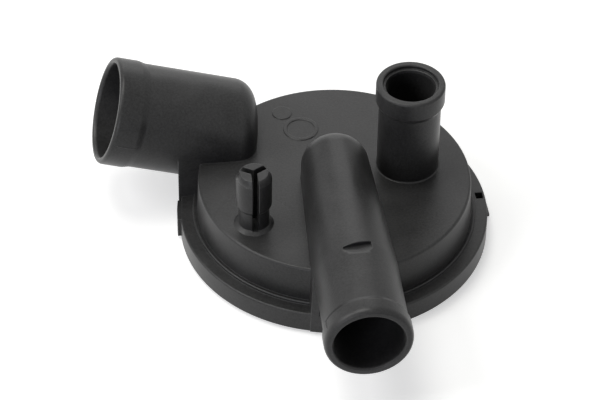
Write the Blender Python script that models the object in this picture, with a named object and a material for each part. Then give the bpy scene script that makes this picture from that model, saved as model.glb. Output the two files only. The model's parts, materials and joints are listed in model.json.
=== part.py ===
"""Crankcase ventilation valve: a snap-together moulded housing with three hose ports and, inside it,
a spring-loaded rolling diaphragm that throttles the outlet. Metres, +Z up. The origin is the centre
of the flat base, on the axis of the round chamber, and the mechanism is shown at rest, valve open."""

from math import asin, atan2, cos, hypot, pi, radians, sin, sqrt, tan

import bmesh
import bpy
from mathutils import Matrix, Vector

# Clearance kept between two pieces that touch on the real valve.
FIT = 0.0003
# Small bevel on moulded steps, and how far a joined form runs into its neighbour.
EDGE_BREAK = 0.0002
JOIN_DEPTH = 0.0004
# Widening of a port's bore just inside its mouth.
MOUTH_FLARE = 0.0004
MOUTH_FLARE_DEPTH = 0.0008

# Round chamber.
DISC_RADIUS = 0.0400
SIDE_DRAFT = 0.0004
WALL = 0.0020
TOP_PLATE = 0.0022
CHAMBER_TOP_Z = 0.0200
DISC_EDGE_ROUND = 0.0009
WALL_FOOT_ROUND = 0.0006
CHAMBER_CORNER_ROUND = 0.0012
# Raised ring, flange and skirt round the chamber.
RING_WIDTH = 0.0015
RING_HEIGHT = 0.0007
FLANGE_WIDTH = 0.0037
FLANGE_TOP_Z = 0.0080
FLANGE_THICKNESS = 0.0018
SKIRT_WALL = 0.0020
SKIRT_FOOT_Z = 0.0009
FLANGE_EDGE_ROUND = 0.0005
# Features on the skirt start this far above its foot.
FOOT_SETBACK = 0.0001
# Snap hooks on the skirt and the cores that form them. A port covers the flange over the last two.
OPEN_HOOK_AZIMUTHS = (radians(8.5), radians(98.5))
COVERED_HOOK_AZIMUTHS = (radians(179.0), radians(278.5))
HOOK_WIDTH = 0.0050
HOOK_REACH = 0.0011
HOOK_HEIGHT = 0.0011
HOOK_LUG = 0.0012
HOOK_LUG_HEIGHT = 0.0011
WINDOW_WIDTH = 0.0027
WINDOW_LENGTH = 0.0022
WINDOW_SILL = 0.0006
# Thickened block on the skirt below the inlet.
BLOCK_RISE = 0.00095
BLOCK_START = radians(177.0)
BLOCK_END = radians(187.5)
# Outlet tube, lying on the top plate from the centre out over the flange.
OUTLET_TURN = radians(7.5)
OUTLET_AXIS_RISE = 0.0046
OUTLET_DOME_RADIUS = 0.0100
OUTLET_DOME_DEPTH = 0.0088
OUTLET_RADIUS = 0.0120
OUTLET_LENGTH = 0.0742
OUTLET_BORE_MOUTH = 0.0099
OUTLET_BORE_INNER = 0.0083
OUTLET_BEAD_RISE = 0.0006
OUTLET_BEAD_LENGTH = 0.0066
OUTLET_WEB_FLARE = 0.0005
OUTLET_WEB_OVERHANG = 0.0003
OUTLET_NOTCH_DEPTH = 0.0009
OUTLET_NOTCH_LENGTH = 0.0042
OUTLET_NOTCH_GAP = 0.0006
# A hose bead rises from the tube over this share of its length.
BEAD_RAMP_SHARE = 0.28
# Valve seat, the inner end of the outlet.
SEAT_BORE = 0.0075
SEAT_WALL = 0.0016
SEAT_LIP = 0.0007
SEAT_TAPER = 0.0016
# Inlet tube, rising away from the chamber.
INLET_TURN = radians(8.0)
INLET_OFFSET = 0.0257
INLET_ENTRY = 0.0311
INLET_RISE = radians(17.3)
INLET_RADIUS = 0.01535
INLET_LENGTH = 0.0354
INLET_INNER_LENGTH = 0.0100
INLET_END_ROUND = 0.0060
INLET_END_LEAN = 0.16
INLET_BORE = 0.0139
INLET_BEAD_RISE = 0.0005
INLET_BEAD_LENGTH = 0.0090
INLET_SADDLE_OVERHANG = 0.0008
INLET_SADDLE_INSET = 0.0001
# Upright nozzle.
NOZZLE_AZIMUTH = radians(18.0)
NOZZLE_OFFSET = 0.0226
NOZZLE_RADIUS = 0.0090
NOZZLE_HEIGHT = 0.0303
NOZZLE_BORE = 0.0070
NOZZLE_BEAD_RISE = 0.0010
NOZZLE_BEAD_LENGTH = 0.0080
NOZZLE_COUNTERBORE = 0.0080
NOZZLE_COUNTERBORE_DEPTH = 0.0012
NOZZLE_FOOT_ROUND = 0.0010
NOZZLE_SHOULDER = 0.0004
# Snap stud that clips the valve to its bracket.
STUD_AZIMUTH = radians(220.8)
STUD_OFFSET = 0.0308
STUD_HEIGHT = 0.0179
STUD_HEAD_RADIUS = 0.0052
STUD_NECK_RADIUS = 0.0044
STUD_COLLAR_RADIUS = 0.0050
STUD_COLLAR_HEIGHT = 0.0011
STUD_NECK_HEIGHT = 0.0068
STUD_CHAMFER = 0.0014
STUD_SLOT = 0.0014
STUD_SLOT_FLOOR = 0.0004
STUD_LEGS = 3
STUD_MOAT_WIDTH = 0.0015
STUD_MOAT_DEPTH = 0.0003
# Diaphragm and what it carries.
RUBBER = 0.0007
BEAD_WIDTH = 0.0026
BEAD_CLAMP = 0.0018
ROLL_WIDTH = 0.0062
ROLL_HEIGHT = 0.0026
ROLL_MARGIN = 0.0006
PLATE_THICKNESS = 0.0015
PLATE_RIB_HEIGHT = 0.0005
PLATE_RIB_COUNT = 8
PLATE_HUB_WIDTH = 0.0022
PLATE_BORDER = 0.0014
PLATE_BEVEL = 0.0004
FLOOR_RIB_WIDTH = 0.0012
RIVET_SHANK_RADIUS = 0.0016
RIVET_HEAD_RADIUS = 0.0034
RIVET_HEAD = 0.0009
RIVET_FOOT_RADIUS = 0.0025
RIVET_FOOT = 0.0007
RIVET_BARB = 0.0004
VALVE_LIFT = 0.0040
SEAT_SQUEEZE_GAP = 0.00015
# Return spring and the ring that spreads its load.
SPRING_MEAN_RADIUS = 0.0120
SPRING_WIRE = 0.0009
SPRING_TURNS = 3.25
SPRING_TOP_Z = 0.0137
SPRING_CLOSED_TURNS = 0.6
SPRING_CLOSED_PITCH = 0.00094
SPRING_EASE = 0.08
SPRING_RIB_COUNT = 8
SPRING_RIB = 0.0014
SPRING_RIB_OVERHANG = 0.0008
RING_THICKNESS = 0.0008
RING_BORDER = 0.0012
# Snap-in cover.
COVER_FLOOR = 0.0018
COVER_RIM = 0.0011
COVER_FOOT_BEVEL = 0.0005
COVER_WALL_DRAFT = 0.0008
COVER_STOP_RISE = 0.0006
COVER_STOP_RADIUS = 0.0240
COVER_STOP_WIDTH = 0.0016
COVER_VENT_RADIUS = 0.0021
COVER_VENT_OFFSET = 0.0150
COVER_VENT_AZIMUTH = radians(300.0)
COVER_RIB_COUNT = 12
COVER_RIB_SHARE = 0.6
# Facets round a full turn.
DISC_SIDES = 84
TUBE_SIDES = 40
DIAPHRAGM_SIDES = 64
PLATE_SIDES = 56
RING_SIDES = 48
SMALL_SIDES = 28
WIRE_SIDES = 8
WIRE_STEPS_PER_TURN = 32
# How far a cutting form runs past the surface it opens.
CUT_MARGIN = 0.0010

# Radii that follow from the sizes above.
wall_foot_radius = DISC_RADIUS + SIDE_DRAFT
ring_radius = wall_foot_radius + RING_WIDTH
flange_radius = ring_radius + FLANGE_WIDTH
skirt_inner_radius = flange_radius - SKIRT_WALL
chamber_radius = DISC_RADIUS - WALL
chamber_foot_radius = wall_foot_radius - WALL
cover_radius = skirt_inner_radius - FIT
bead_inner_radius = cover_radius - BEAD_WIDTH
hook_tip_radius = skirt_inner_radius - HOOK_REACH
cover_body_radius = hook_tip_radius - FIT
roll_outer_radius = chamber_radius - ROLL_MARGIN
roll_inner_radius = roll_outer_radius - ROLL_WIDTH
plate_radius = roll_inner_radius - 2 * FIT
seat_outer_radius = SEAT_BORE + SEAT_WALL
saddle_radius = flange_radius + INLET_SADDLE_OVERHANG
# Levels that follow from the sizes above.
flange_under_z = FLANGE_TOP_Z - FLANGE_THICKNESS
chamber_ceiling_z = CHAMBER_TOP_Z - TOP_PLATE
cover_rim_under_z = SKIRT_FOOT_Z + HOOK_HEIGHT + FIT
bead_floor_z = cover_rim_under_z + COVER_RIM
bead_low_z = bead_floor_z + FIT
bead_top_z = flange_under_z - FIT
plate_low_z = COVER_FLOOR + COVER_STOP_RISE + FIT
plate_top_z = plate_low_z + PLATE_THICKNESS
rubber_low_z = plate_top_z + FIT
rubber_top_z = rubber_low_z + RUBBER
clamp_low_z = rubber_low_z - FIT
clamp_top_z = rubber_top_z + FIT
spring_ring_low_z = rubber_top_z + FIT
spring_ring_top_z = spring_ring_low_z + RING_THICKNESS
spring_low_z = spring_ring_top_z + FIT
spring_seat_z = SPRING_TOP_Z + FIT
seat_z = rubber_top_z + VALVE_LIFT + SEAT_SQUEEZE_GAP
outlet_axis_z = CHAMBER_TOP_Z + OUTLET_AXIS_RISE
# Directions and centres that follow from the sizes above.
outlet_way = Vector((sin(OUTLET_TURN), -cos(OUTLET_TURN), 0.0))
outlet_side = Vector((cos(OUTLET_TURN), sin(OUTLET_TURN), 0.0))
inlet_way = Vector((-cos(INLET_TURN), -sin(INLET_TURN), 0.0))
inlet_side = Vector((-sin(INLET_TURN), cos(INLET_TURN), 0.0))
inlet_axis = (inlet_way * cos(INLET_RISE) + Vector((0.0, 0.0, sin(INLET_RISE)))).normalized()
inlet_entry = inlet_way * INLET_ENTRY + inlet_side * INLET_OFFSET + Vector((0.0, 0.0, CHAMBER_TOP_Z))
nozzle_foot = Vector((NOZZLE_OFFSET * cos(NOZZLE_AZIMUTH), NOZZLE_OFFSET * sin(NOZZLE_AZIMUTH), 0.0))
stud_foot = Vector((STUD_OFFSET * cos(STUD_AZIMUTH), STUD_OFFSET * sin(STUD_AZIMUTH), CHAMBER_TOP_Z))


def material(name, colour, roughness, metallic=0.0):
    made = bpy.data.materials.new(name)
    made.use_nodes = True
    shader = made.node_tree.nodes["Principled BSDF"]
    shader.inputs["Base Color"].default_value = (*colour, 1.0)
    shader.inputs["Roughness"].default_value = roughness
    shader.inputs["Metallic"].default_value = metallic
    return made


def mesh_object(name, shape):
    """An object that holds a bmesh, not yet in any collection."""
    mesh = bpy.data.meshes.new(name)
    shape.to_mesh(mesh)
    shape.free()
    return bpy.data.objects.new(name, mesh)


def add_piece(name, shape, surface):
    """A finished piece of the valve, in its own material, smooth but for its real edges."""
    piece = mesh_object(name, shape)
    piece.data.shade_smooth()
    piece.data.set_sharp_from_angle(angle=radians(32.0))
    piece.data.materials.append(surface)
    bpy.context.scene.collection.objects.link(piece)
    return piece


def apply_tools(target, operation, name, shapes):
    """Joins or cuts the target with a group of hidden helpers, all in one step."""
    group = bpy.data.collections.new(name)
    bpy.context.scene.collection.children.link(group)
    for index, shape in enumerate(shapes):
        helper = mesh_object(f"{name}_{index}", shape)
        helper.hide_render = True
        helper.display_type = "WIRE"
        group.objects.link(helper)
    boolean = target.modifiers.new(name, "BOOLEAN")
    boolean.operation = operation
    boolean.solver = "EXACT"
    boolean.operand_type = "COLLECTION"
    boolean.collection = group


def outward(shape):
    """Turns the faces of one closed body to look out of it."""
    bmesh.ops.recalc_face_normals(shape, faces=shape.faces)
    if shape.calc_volume(signed=True) < 0.0:
        bmesh.ops.reverse_faces(shape, faces=shape.faces)
    return shape


def frame_along(origin, direction):
    """The matrix that lays local +Z along a direction, with its foot at the origin given."""
    turn = direction.normalized().to_track_quat("Z", "Y").to_matrix().to_4x4()
    return Matrix.Translation(origin) @ turn


def lathe(profile, sides, place=None):
    """A closed turned solid from (radius, height) points. A profile that starts and ends off the
    axis is taken as a closed loop."""
    shape = bmesh.new()
    rings = []
    for radius, height in profile:
        if radius < 1e-7:
            rings.append([shape.verts.new((0.0, 0.0, height))])
            continue
        turns = [2 * pi * side / sides for side in range(sides)]
        rings.append([shape.verts.new((radius * cos(t), radius * sin(t), height)) for t in turns])
    pairs = list(zip(rings, rings[1:]))
    if len(rings[0]) > 1 and len(rings[-1]) > 1:
        pairs.append((rings[-1], rings[0]))
    for first, second in pairs:
        for side in range(sides):
            after = (side + 1) % sides
            corners = [first[side % len(first)], first[after % len(first)]]
            corners += [second[after % len(second)], second[side % len(second)]]
            distinct = list(dict.fromkeys(corners))
            if len(distinct) > 2:
                shape.faces.new(distinct)
    if place:
        shape.transform(place)
    return outward(shape)


def arc(centre, radius, start, end, steps):
    """Points of a round stretch of a profile, angles in degrees from the outward direction."""
    points = []
    for step in range(steps + 1):
        angle = radians(start + (end - start) * step / steps)
        points.append((centre[0] + radius * cos(angle), centre[1] + radius * sin(angle)))
    return points


def prism(outline, low, high):
    """A solid over a plan outline. Its lower and upper levels are functions of the plan point."""
    shape = bmesh.new()
    floor = [shape.verts.new((x, y, low(Vector((x, y, 0.0))))) for x, y in outline]
    roof = [shape.verts.new((x, y, high(Vector((x, y, 0.0))))) for x, y in outline]
    shape.faces.new(floor[::-1])
    shape.faces.new(roof)
    for index, corner in enumerate(floor):
        after = (index + 1) % len(floor)
        shape.faces.new([corner, floor[after], roof[after], roof[index]])
    bmesh.ops.triangulate(shape, faces=[face for face in shape.faces if len(face.verts) > 4])
    return outward(shape)


def box(size, place):
    """A rectangular block, centred on the origin of its matrix."""
    shape = bmesh.new()
    bmesh.ops.create_cube(shape, size=1.0)
    shape.transform(place @ Matrix.Diagonal((*size, 1.0)))
    return shape


def around(azimuth, radius, z):
    """The matrix of a place on a circle about the chamber's axis, local +X pointing outwards."""
    turn = Matrix.Rotation(azimuth, 4, "Z")
    return turn @ Matrix.Translation((radius, 0.0, z))


def hose_end(radius, length, bead_rise, bead_length, bore):
    """The free end of a hose port: the tube, the rounded bead that holds the hose, and the flat
    end face. Points run from the tube to the edge of the bore, heights along the port."""
    bead = radius + bead_rise
    ramp = bead_length * BEAD_RAMP_SHARE
    lip = (bead - bore) / 2
    points = [(radius, length - bead_length)]
    points.append((radius + bead_rise / 2, length - bead_length + ramp / 2))
    points.append((bead, length - bead_length + ramp))
    points += arc((bead - lip, length - lip), lip, 0, 90, 4)
    return points


def chamber_shell():
    """Outside of the round chamber, the raised ring, the flange and the skirt, filled solid."""
    profile = [(0.0, SKIRT_FOOT_Z), (flange_radius, SKIRT_FOOT_Z)]
    corner = (flange_radius - FLANGE_EDGE_ROUND, FLANGE_TOP_Z - FLANGE_EDGE_ROUND)
    profile += arc(corner, FLANGE_EDGE_ROUND, 0, 90, 2)
    ring_top_z = FLANGE_TOP_Z + RING_HEIGHT
    profile += [(ring_radius, FLANGE_TOP_Z), (ring_radius, ring_top_z - EDGE_BREAK)]
    profile.append((ring_radius - EDGE_BREAK, ring_top_z))
    profile.append((wall_foot_radius + WALL_FOOT_ROUND, ring_top_z))
    profile.append((wall_foot_radius + EDGE_BREAK, ring_top_z + EDGE_BREAK))
    profile.append((wall_foot_radius, ring_top_z + WALL_FOOT_ROUND))
    corner = (DISC_RADIUS - DISC_EDGE_ROUND, CHAMBER_TOP_Z - DISC_EDGE_ROUND)
    profile += arc(corner, DISC_EDGE_ROUND, 0, 90, 3)
    profile.append((0.0, CHAMBER_TOP_Z))
    return lathe(profile, DISC_SIDES)


def chamber_hollow():
    """Inside of the chamber and of the skirt below it, with the rib that grips the diaphragm."""
    profile = [(0.0, SKIRT_FOOT_Z - CUT_MARGIN), (skirt_inner_radius, SKIRT_FOOT_Z - CUT_MARGIN)]
    profile.append((skirt_inner_radius, flange_under_z))
    grip_radius = chamber_foot_radius + BEAD_CLAMP
    profile += [(grip_radius, flange_under_z), (grip_radius, clamp_top_z)]
    profile += [(chamber_foot_radius, clamp_top_z), (chamber_foot_radius, flange_under_z)]
    inside = CHAMBER_CORNER_ROUND
    corner = (chamber_radius - inside, chamber_ceiling_z - inside)
    profile += arc(corner, inside, 0, 90, 2)
    profile.append((0.0, chamber_ceiling_z))
    return lathe(profile, DISC_SIDES)


def inlet_lathe(profile, sides):
    """A turned form on the inlet's axis whose inner end leans, its top nearer to the mouth."""
    shape = lathe(profile, sides)
    for corner in shape.verts:
        if corner.co.z < 0.0:
            corner.co.z += INLET_END_LEAN * corner.co.y
    shape.transform(frame_along(inlet_entry, inlet_axis))
    return shape


def inlet_shell():
    """Outside of the inlet: a tube closed at its inner end, with the hose bead at its mouth."""
    flat = INLET_RADIUS - INLET_END_ROUND
    profile = [(0.0, -INLET_INNER_LENGTH)]
    corner = (flat, INLET_END_ROUND - INLET_INNER_LENGTH)
    profile += arc(corner, INLET_END_ROUND, -90, 0, 5)
    profile += hose_end(INLET_RADIUS, INLET_LENGTH, INLET_BEAD_RISE, INLET_BEAD_LENGTH, INLET_BORE)
    profile.append((0.0, INLET_LENGTH))
    return inlet_lathe(profile, TUBE_SIDES + 8)


def inlet_axis_level(point):
    """Height of the inlet's axis above a point of the plan."""
    return CHAMBER_TOP_Z + (point.dot(inlet_way) - INLET_ENTRY) * tan(INLET_RISE)


def inlet_saddle():
    """Upright walls under the widest line of the inlet, down to the flange and the skirt. In plan
    they follow the tube and its rounded inner end, and stop on a circle just outside the flange."""
    near = INLET_OFFSET - INLET_RADIUS
    far = INLET_OFFSET + INLET_RADIUS
    rounding = INLET_END_ROUND - INLET_SADDLE_INSET
    end = INLET_ENTRY + rounding - (INLET_INNER_LENGTH - INLET_SADDLE_INSET) * cos(INLET_RISE)
    inner_end = []
    for offset, start in ((far - INLET_END_ROUND, 90), (near + INLET_END_ROUND, 180)):
        for step in range(5):
            angle = radians(start + 90 * step / 4)
            inner_end.append((end + rounding * cos(angle), offset + rounding * sin(angle)))
    inner_end = [spot for spot in inner_end if hypot(*spot) < saddle_radius]
    begin = asin((near + INLET_SADDLE_INSET) / saddle_radius)
    finish = atan2(inner_end[0][1], inner_end[0][0])
    angles = [begin + (finish - begin) * step / 12 for step in range(13)]
    spots = inner_end + [(saddle_radius * cos(angle), saddle_radius * sin(angle)) for angle in angles]
    outline = [inlet_way * along + inlet_side * across for along, across in spots]
    outline = [(point.x, point.y) for point in outline]
    return prism(outline, lambda point: SKIRT_FOOT_Z + FOOT_SETBACK, inlet_axis_level)


def inlet_hollow():
    """Bore of the inlet, kept above the flange, where it opens into the chamber."""
    wall = INLET_RADIUS - INLET_BORE
    profile = [(0.0, wall - INLET_INNER_LENGTH)]
    rounding = INLET_END_ROUND - wall
    corner = (INLET_BORE - rounding, INLET_END_ROUND - INLET_INNER_LENGTH)
    profile += arc(corner, rounding, -90, 0, 3)
    profile.append((INLET_BORE, INLET_LENGTH - MOUTH_FLARE_DEPTH))
    profile.append((INLET_BORE + MOUTH_FLARE, INLET_LENGTH + CUT_MARGIN))
    profile.append((0.0, INLET_LENGTH + CUT_MARGIN))
    hollow = inlet_lathe(profile, TUBE_SIDES)
    geometry = hollow.verts[:] + hollow.edges[:] + hollow.faces[:]
    cut = bmesh.ops.bisect_plane(
        hollow,
        geom=geometry,
        plane_co=(0.0, 0.0, FLANGE_TOP_Z),
        plane_no=(0.0, 0.0, -1.0),
        clear_outer=True,
    )
    rim = [item for item in cut["geom_cut"] if isinstance(item, bmesh.types.BMEdge)]
    bmesh.ops.edgeloop_fill(hollow, edges=rim)
    return outward(hollow)


def outlet_radius_at(distance):
    """The outlet widens from its domed inner end to the flange, then runs parallel."""
    share = min(1.0, max(0.0, distance / flange_radius))
    return OUTLET_DOME_RADIUS + (OUTLET_RADIUS - OUTLET_DOME_RADIUS) * share


def outlet_shell():
    """Outside of the outlet tube: domed inner end, tapered body, hose end with its bead."""
    flatten = OUTLET_DOME_DEPTH / OUTLET_DOME_RADIUS
    dome = arc((0.0, 0.0), OUTLET_DOME_RADIUS, -75, 0, 6)
    profile = [(0.0, -OUTLET_DOME_DEPTH)] + [(radius, flatten * along) for radius, along in dome]
    profile.append((OUTLET_RADIUS, flange_radius))
    profile += hose_end(
        OUTLET_RADIUS, OUTLET_LENGTH, OUTLET_BEAD_RISE, OUTLET_BEAD_LENGTH, OUTLET_BORE_MOUTH
    )
    profile.append((0.0, OUTLET_LENGTH))
    return lathe(profile, TUBE_SIDES, frame_along(Vector((0.0, 0.0, outlet_axis_z)), outlet_way))


def outlet_web():
    """Upright walls under the outlet, from its widest line to the top plate and the flange."""
    end_radius = flange_radius + OUTLET_WEB_OVERHANG
    end = sqrt(end_radius**2 - (OUTLET_RADIUS + OUTLET_WEB_FLARE) ** 2)
    shape = bmesh.new()
    levels = ((SKIRT_FOOT_Z + FOOT_SETBACK, OUTLET_WEB_FLARE), (outlet_axis_z, 0.0))
    rings = []
    for level, flare in levels:
        ring = []
        for step in range(9):
            angle = radians(90 * (step - 4) / 4)
            across = outlet_side * sin(angle) * (OUTLET_DOME_RADIUS + flare)
            ring.append(across - outlet_way * cos(angle) * (OUTLET_DOME_DEPTH + flare))
        half = outlet_radius_at(end) + flare
        limit = asin(half / end_radius)
        for step in range(7):
            angle = limit - 2 * limit * step / 6
            ring.append((outlet_way * cos(angle) + outlet_side * sin(angle)) * end_radius)
        rings.append([shape.verts.new((plan.x, plan.y, level)) for plan in ring])
    low, high = rings
    shape.faces.new(low)
    shape.faces.new(high[::-1])
    for index, corner in enumerate(low):
        after = (index + 1) % len(low)
        shape.faces.new([corner, high[index], high[after], low[after]])
    bmesh.ops.triangulate(shape, faces=[face for face in shape.faces if len(face.verts) > 4])
    return outward(shape)


def outlet_web_pocket():
    """Core-out between the two web walls, open at the front below the tube."""
    width = 2 * (OUTLET_RADIUS - WALL)
    near = ring_radius
    far = flange_radius + 2 * CUT_MARGIN
    height = outlet_axis_z + CUT_MARGIN - FLANGE_TOP_Z
    centre = outlet_way * (near + far) / 2
    centre.z = FLANGE_TOP_Z + height / 2
    place = Matrix.Translation(centre) @ Matrix.Rotation(OUTLET_TURN, 4, "Z")
    return box((width, far - near, height), place)


def outlet_hollow():
    """Bore of the outlet, tapering inwards from the mouth to a round end over the seat."""
    flatten = (OUTLET_DOME_DEPTH - OUTLET_DOME_RADIUS) / OUTLET_BORE_INNER + 1.0
    dome = arc((0.0, 0.0), OUTLET_BORE_INNER, -72, 0, 4)
    profile = [(0.0, -flatten * OUTLET_BORE_INNER)]
    profile += [(radius, flatten * along) for radius, along in dome]
    profile.append((OUTLET_BORE_MOUTH, OUTLET_LENGTH - MOUTH_FLARE_DEPTH))
    profile.append((OUTLET_BORE_MOUTH + MOUTH_FLARE, OUTLET_LENGTH + CUT_MARGIN))
    profile.append((0.0, OUTLET_LENGTH + CUT_MARGIN))
    return lathe(profile, TUBE_SIDES, frame_along(Vector((0.0, 0.0, outlet_axis_z)), outlet_way))


def outlet_notch():
    """Shallow wedge in the crown of the outlet, deepest against the end of the tapered body."""
    crown = outlet_axis_z + OUTLET_RADIUS
    start = flange_radius + OUTLET_NOTCH_GAP
    width = 2 * sqrt(2 * OUTLET_RADIUS * OUTLET_NOTCH_DEPTH)
    shape = bmesh.new()
    section = [
        (start, crown - OUTLET_NOTCH_DEPTH),
        (start + OUTLET_NOTCH_LENGTH, crown + FOOT_SETBACK),
        (start, crown + CUT_MARGIN),
    ]
    for side in (-0.5, 0.5):
        for distance, level in section:
            plan = outlet_way * distance + outlet_side * width * side
            shape.verts.new((plan.x, plan.y, level))
    shape.verts.ensure_lookup_table()
    corners = shape.verts
    shape.faces.new([corners[2], corners[1], corners[0]])
    shape.faces.new([corners[3], corners[4], corners[5]])
    for index in range(3):
        after = (index + 1) % 3
        shape.faces.new([corners[index], corners[after], corners[after + 3], corners[index + 3]])
    return outward(shape)


def seat_tube():
    """Turned boss under the outlet's inner end; its lower lip is the valve seat."""
    top_z = CHAMBER_TOP_Z - TOP_PLATE / 2
    profile = [(0.0, seat_z), (SEAT_BORE + SEAT_LIP, seat_z)]
    profile += [(seat_outer_radius, seat_z + SEAT_TAPER), (seat_outer_radius, top_z)]
    profile.append((0.0, top_z))
    return lathe(profile, TUBE_SIDES)


def seat_hollow():
    """Upright bore from the valve seat into the outlet."""
    profile = [(0.0, seat_z - CUT_MARGIN), (SEAT_BORE, seat_z - CUT_MARGIN)]
    profile += [(SEAT_BORE, outlet_axis_z), (0.0, outlet_axis_z)]
    return lathe(profile, TUBE_SIDES)


def spring_ribs():
    """Radial ribs round the seat boss that carry the upper end of the return spring."""
    outer = SPRING_MEAN_RADIUS + SPRING_WIRE / 2 + SPRING_RIB_OVERHANG
    inner = seat_outer_radius - JOIN_DEPTH
    height = chamber_ceiling_z + TOP_PLATE / 2 - spring_seat_z
    size = (outer - inner, SPRING_RIB, height)
    ribs = []
    for index in range(SPRING_RIB_COUNT):
        azimuth = OUTLET_TURN + 2 * pi * index / SPRING_RIB_COUNT
        ribs.append(box(size, around(azimuth, (outer + inner) / 2, spring_seat_z + height / 2)))
    return ribs


def nozzle_shell():
    """Outside of the upright nozzle, with a small rounded foot and the hose bead."""
    profile = [(0.0, -TOP_PLATE / 2), (NOZZLE_RADIUS + NOZZLE_FOOT_ROUND, -TOP_PLATE / 2)]
    corner = (NOZZLE_RADIUS + NOZZLE_FOOT_ROUND, NOZZLE_FOOT_ROUND)
    profile += arc(corner, NOZZLE_FOOT_ROUND, 270, 180, 3)
    profile += hose_end(
        NOZZLE_RADIUS, NOZZLE_HEIGHT, NOZZLE_BEAD_RISE, NOZZLE_BEAD_LENGTH, NOZZLE_COUNTERBORE
    )
    profile.append((0.0, NOZZLE_HEIGHT))
    return lathe(profile, TUBE_SIDES, Matrix.Translation(nozzle_foot + Vector((0, 0, CHAMBER_TOP_Z))))


def nozzle_hollow():
    """Bore of the nozzle, with the counterbore inside its mouth."""
    shoulder = NOZZLE_HEIGHT - NOZZLE_COUNTERBORE_DEPTH
    profile = [(0.0, -TOP_PLATE - CUT_MARGIN), (NOZZLE_BORE, -TOP_PLATE - CUT_MARGIN)]
    profile += [(NOZZLE_BORE, shoulder - 2 * NOZZLE_SHOULDER)]
    profile += [(NOZZLE_BORE + NOZZLE_SHOULDER, shoulder)]
    profile += [(NOZZLE_COUNTERBORE, shoulder), (NOZZLE_COUNTERBORE, NOZZLE_HEIGHT + CUT_MARGIN)]
    profile.append((0.0, NOZZLE_HEIGHT + CUT_MARGIN))
    return lathe(profile, TUBE_SIDES, Matrix.Translation(nozzle_foot + Vector((0, 0, CHAMBER_TOP_Z))))


def stud_shell():
    """Outside of the snap stud: collar, slender neck and barrel head with a chamfered crown."""
    profile = [(0.0, -TOP_PLATE / 2), (STUD_COLLAR_RADIUS, -TOP_PLATE / 2)]
    profile += [(STUD_COLLAR_RADIUS, STUD_COLLAR_HEIGHT), (STUD_NECK_RADIUS, STUD_COLLAR_HEIGHT)]
    profile.append((STUD_NECK_RADIUS, STUD_NECK_HEIGHT))
    head_foot = STUD_NECK_HEIGHT + 1.5 * (STUD_HEAD_RADIUS - STUD_NECK_RADIUS)
    profile.append((STUD_HEAD_RADIUS, head_foot))
    profile.append((STUD_HEAD_RADIUS, STUD_HEIGHT - 3 * STUD_CHAMFER / 2))
    profile.append((STUD_HEAD_RADIUS - STUD_CHAMFER / 3, STUD_HEIGHT - 2 * STUD_CHAMFER / 3))
    profile.append((STUD_HEAD_RADIUS - STUD_CHAMFER, STUD_HEIGHT))
    profile.append((0.0, STUD_HEIGHT))
    return lathe(profile, SMALL_SIDES + 2, Matrix.Translation(stud_foot))


def stud_slots():
    """Three slots, meeting on the stud's axis, that part it into springy legs."""
    reach = STUD_HEAD_RADIUS + CUT_MARGIN
    half = STUD_SLOT / 2
    outline = []
    for index in range(STUD_LEGS):
        angle = -pi / 2 + OUTLET_TURN + 2 * pi * index / STUD_LEGS
        way = Vector((cos(angle), sin(angle), 0.0))
        across = Vector((-sin(angle), cos(angle), 0.0))
        crotch = angle + pi / STUD_LEGS
        inner = Vector((cos(crotch), sin(crotch), 0.0)) * half / sin(pi / STUD_LEGS)
        outline += [way * reach - across * half, way * reach + across * half, inner]
    outline = [(stud_foot.x + point.x, stud_foot.y + point.y) for point in outline]
    floor_z = CHAMBER_TOP_Z + STUD_SLOT_FLOOR
    roof_z = CHAMBER_TOP_Z + STUD_HEIGHT + CUT_MARGIN
    return prism(outline, lambda point: floor_z, lambda point: roof_z)


def stud_moat():
    """Shallow ring sunk into the top plate round the stud's collar."""
    outer = STUD_COLLAR_RADIUS + STUD_MOAT_WIDTH
    profile = [(STUD_COLLAR_RADIUS, -STUD_MOAT_DEPTH), (outer - STUD_MOAT_DEPTH, -STUD_MOAT_DEPTH)]
    profile += [(outer + STUD_MOAT_DEPTH, STUD_MOAT_DEPTH), (STUD_COLLAR_RADIUS, STUD_MOAT_DEPTH)]
    return lathe(profile, SMALL_SIDES + 2, Matrix.Translation(stud_foot))


def hook_wedge(azimuth):
    """Catch inside the skirt: flat above, where the cover's rim sits, and ramped below."""
    shape = bmesh.new()
    root = skirt_inner_radius + SKIRT_WALL / 2
    top = SKIRT_FOOT_Z + HOOK_HEIGHT
    foot = SKIRT_FOOT_Z + FOOT_SETBACK
    section = [(root, foot), (skirt_inner_radius - EDGE_BREAK, foot)]
    section += [(hook_tip_radius, top - 2 * EDGE_BREAK), (hook_tip_radius, top), (root, top)]
    sides = []
    for side in (-0.5, 0.5):
        sides.append([shape.verts.new((r, side * HOOK_WIDTH, z)) for r, z in section])
    shape.faces.new(sides[0][::-1])
    shape.faces.new(sides[1])
    for index in range(len(section)):
        after = (index + 1) % len(section)
        shape.faces.new([sides[0][index], sides[0][after], sides[1][after], sides[1][index]])
    shape.transform(Matrix.Rotation(azimuth, 4, "Z"))
    return outward(shape)


def hook_lug(azimuth):
    """Low lug outside the skirt, level with the catch, for a tool that takes the cover off."""
    depth = SKIRT_WALL / 2 + HOOK_LUG
    centre_z = SKIRT_FOOT_Z + FOOT_SETBACK + HOOK_LUG_HEIGHT / 2
    place = around(azimuth, flange_radius + HOOK_LUG - depth / 2, centre_z)
    return box((depth, HOOK_WIDTH, HOOK_LUG_HEIGHT), place)


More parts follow.
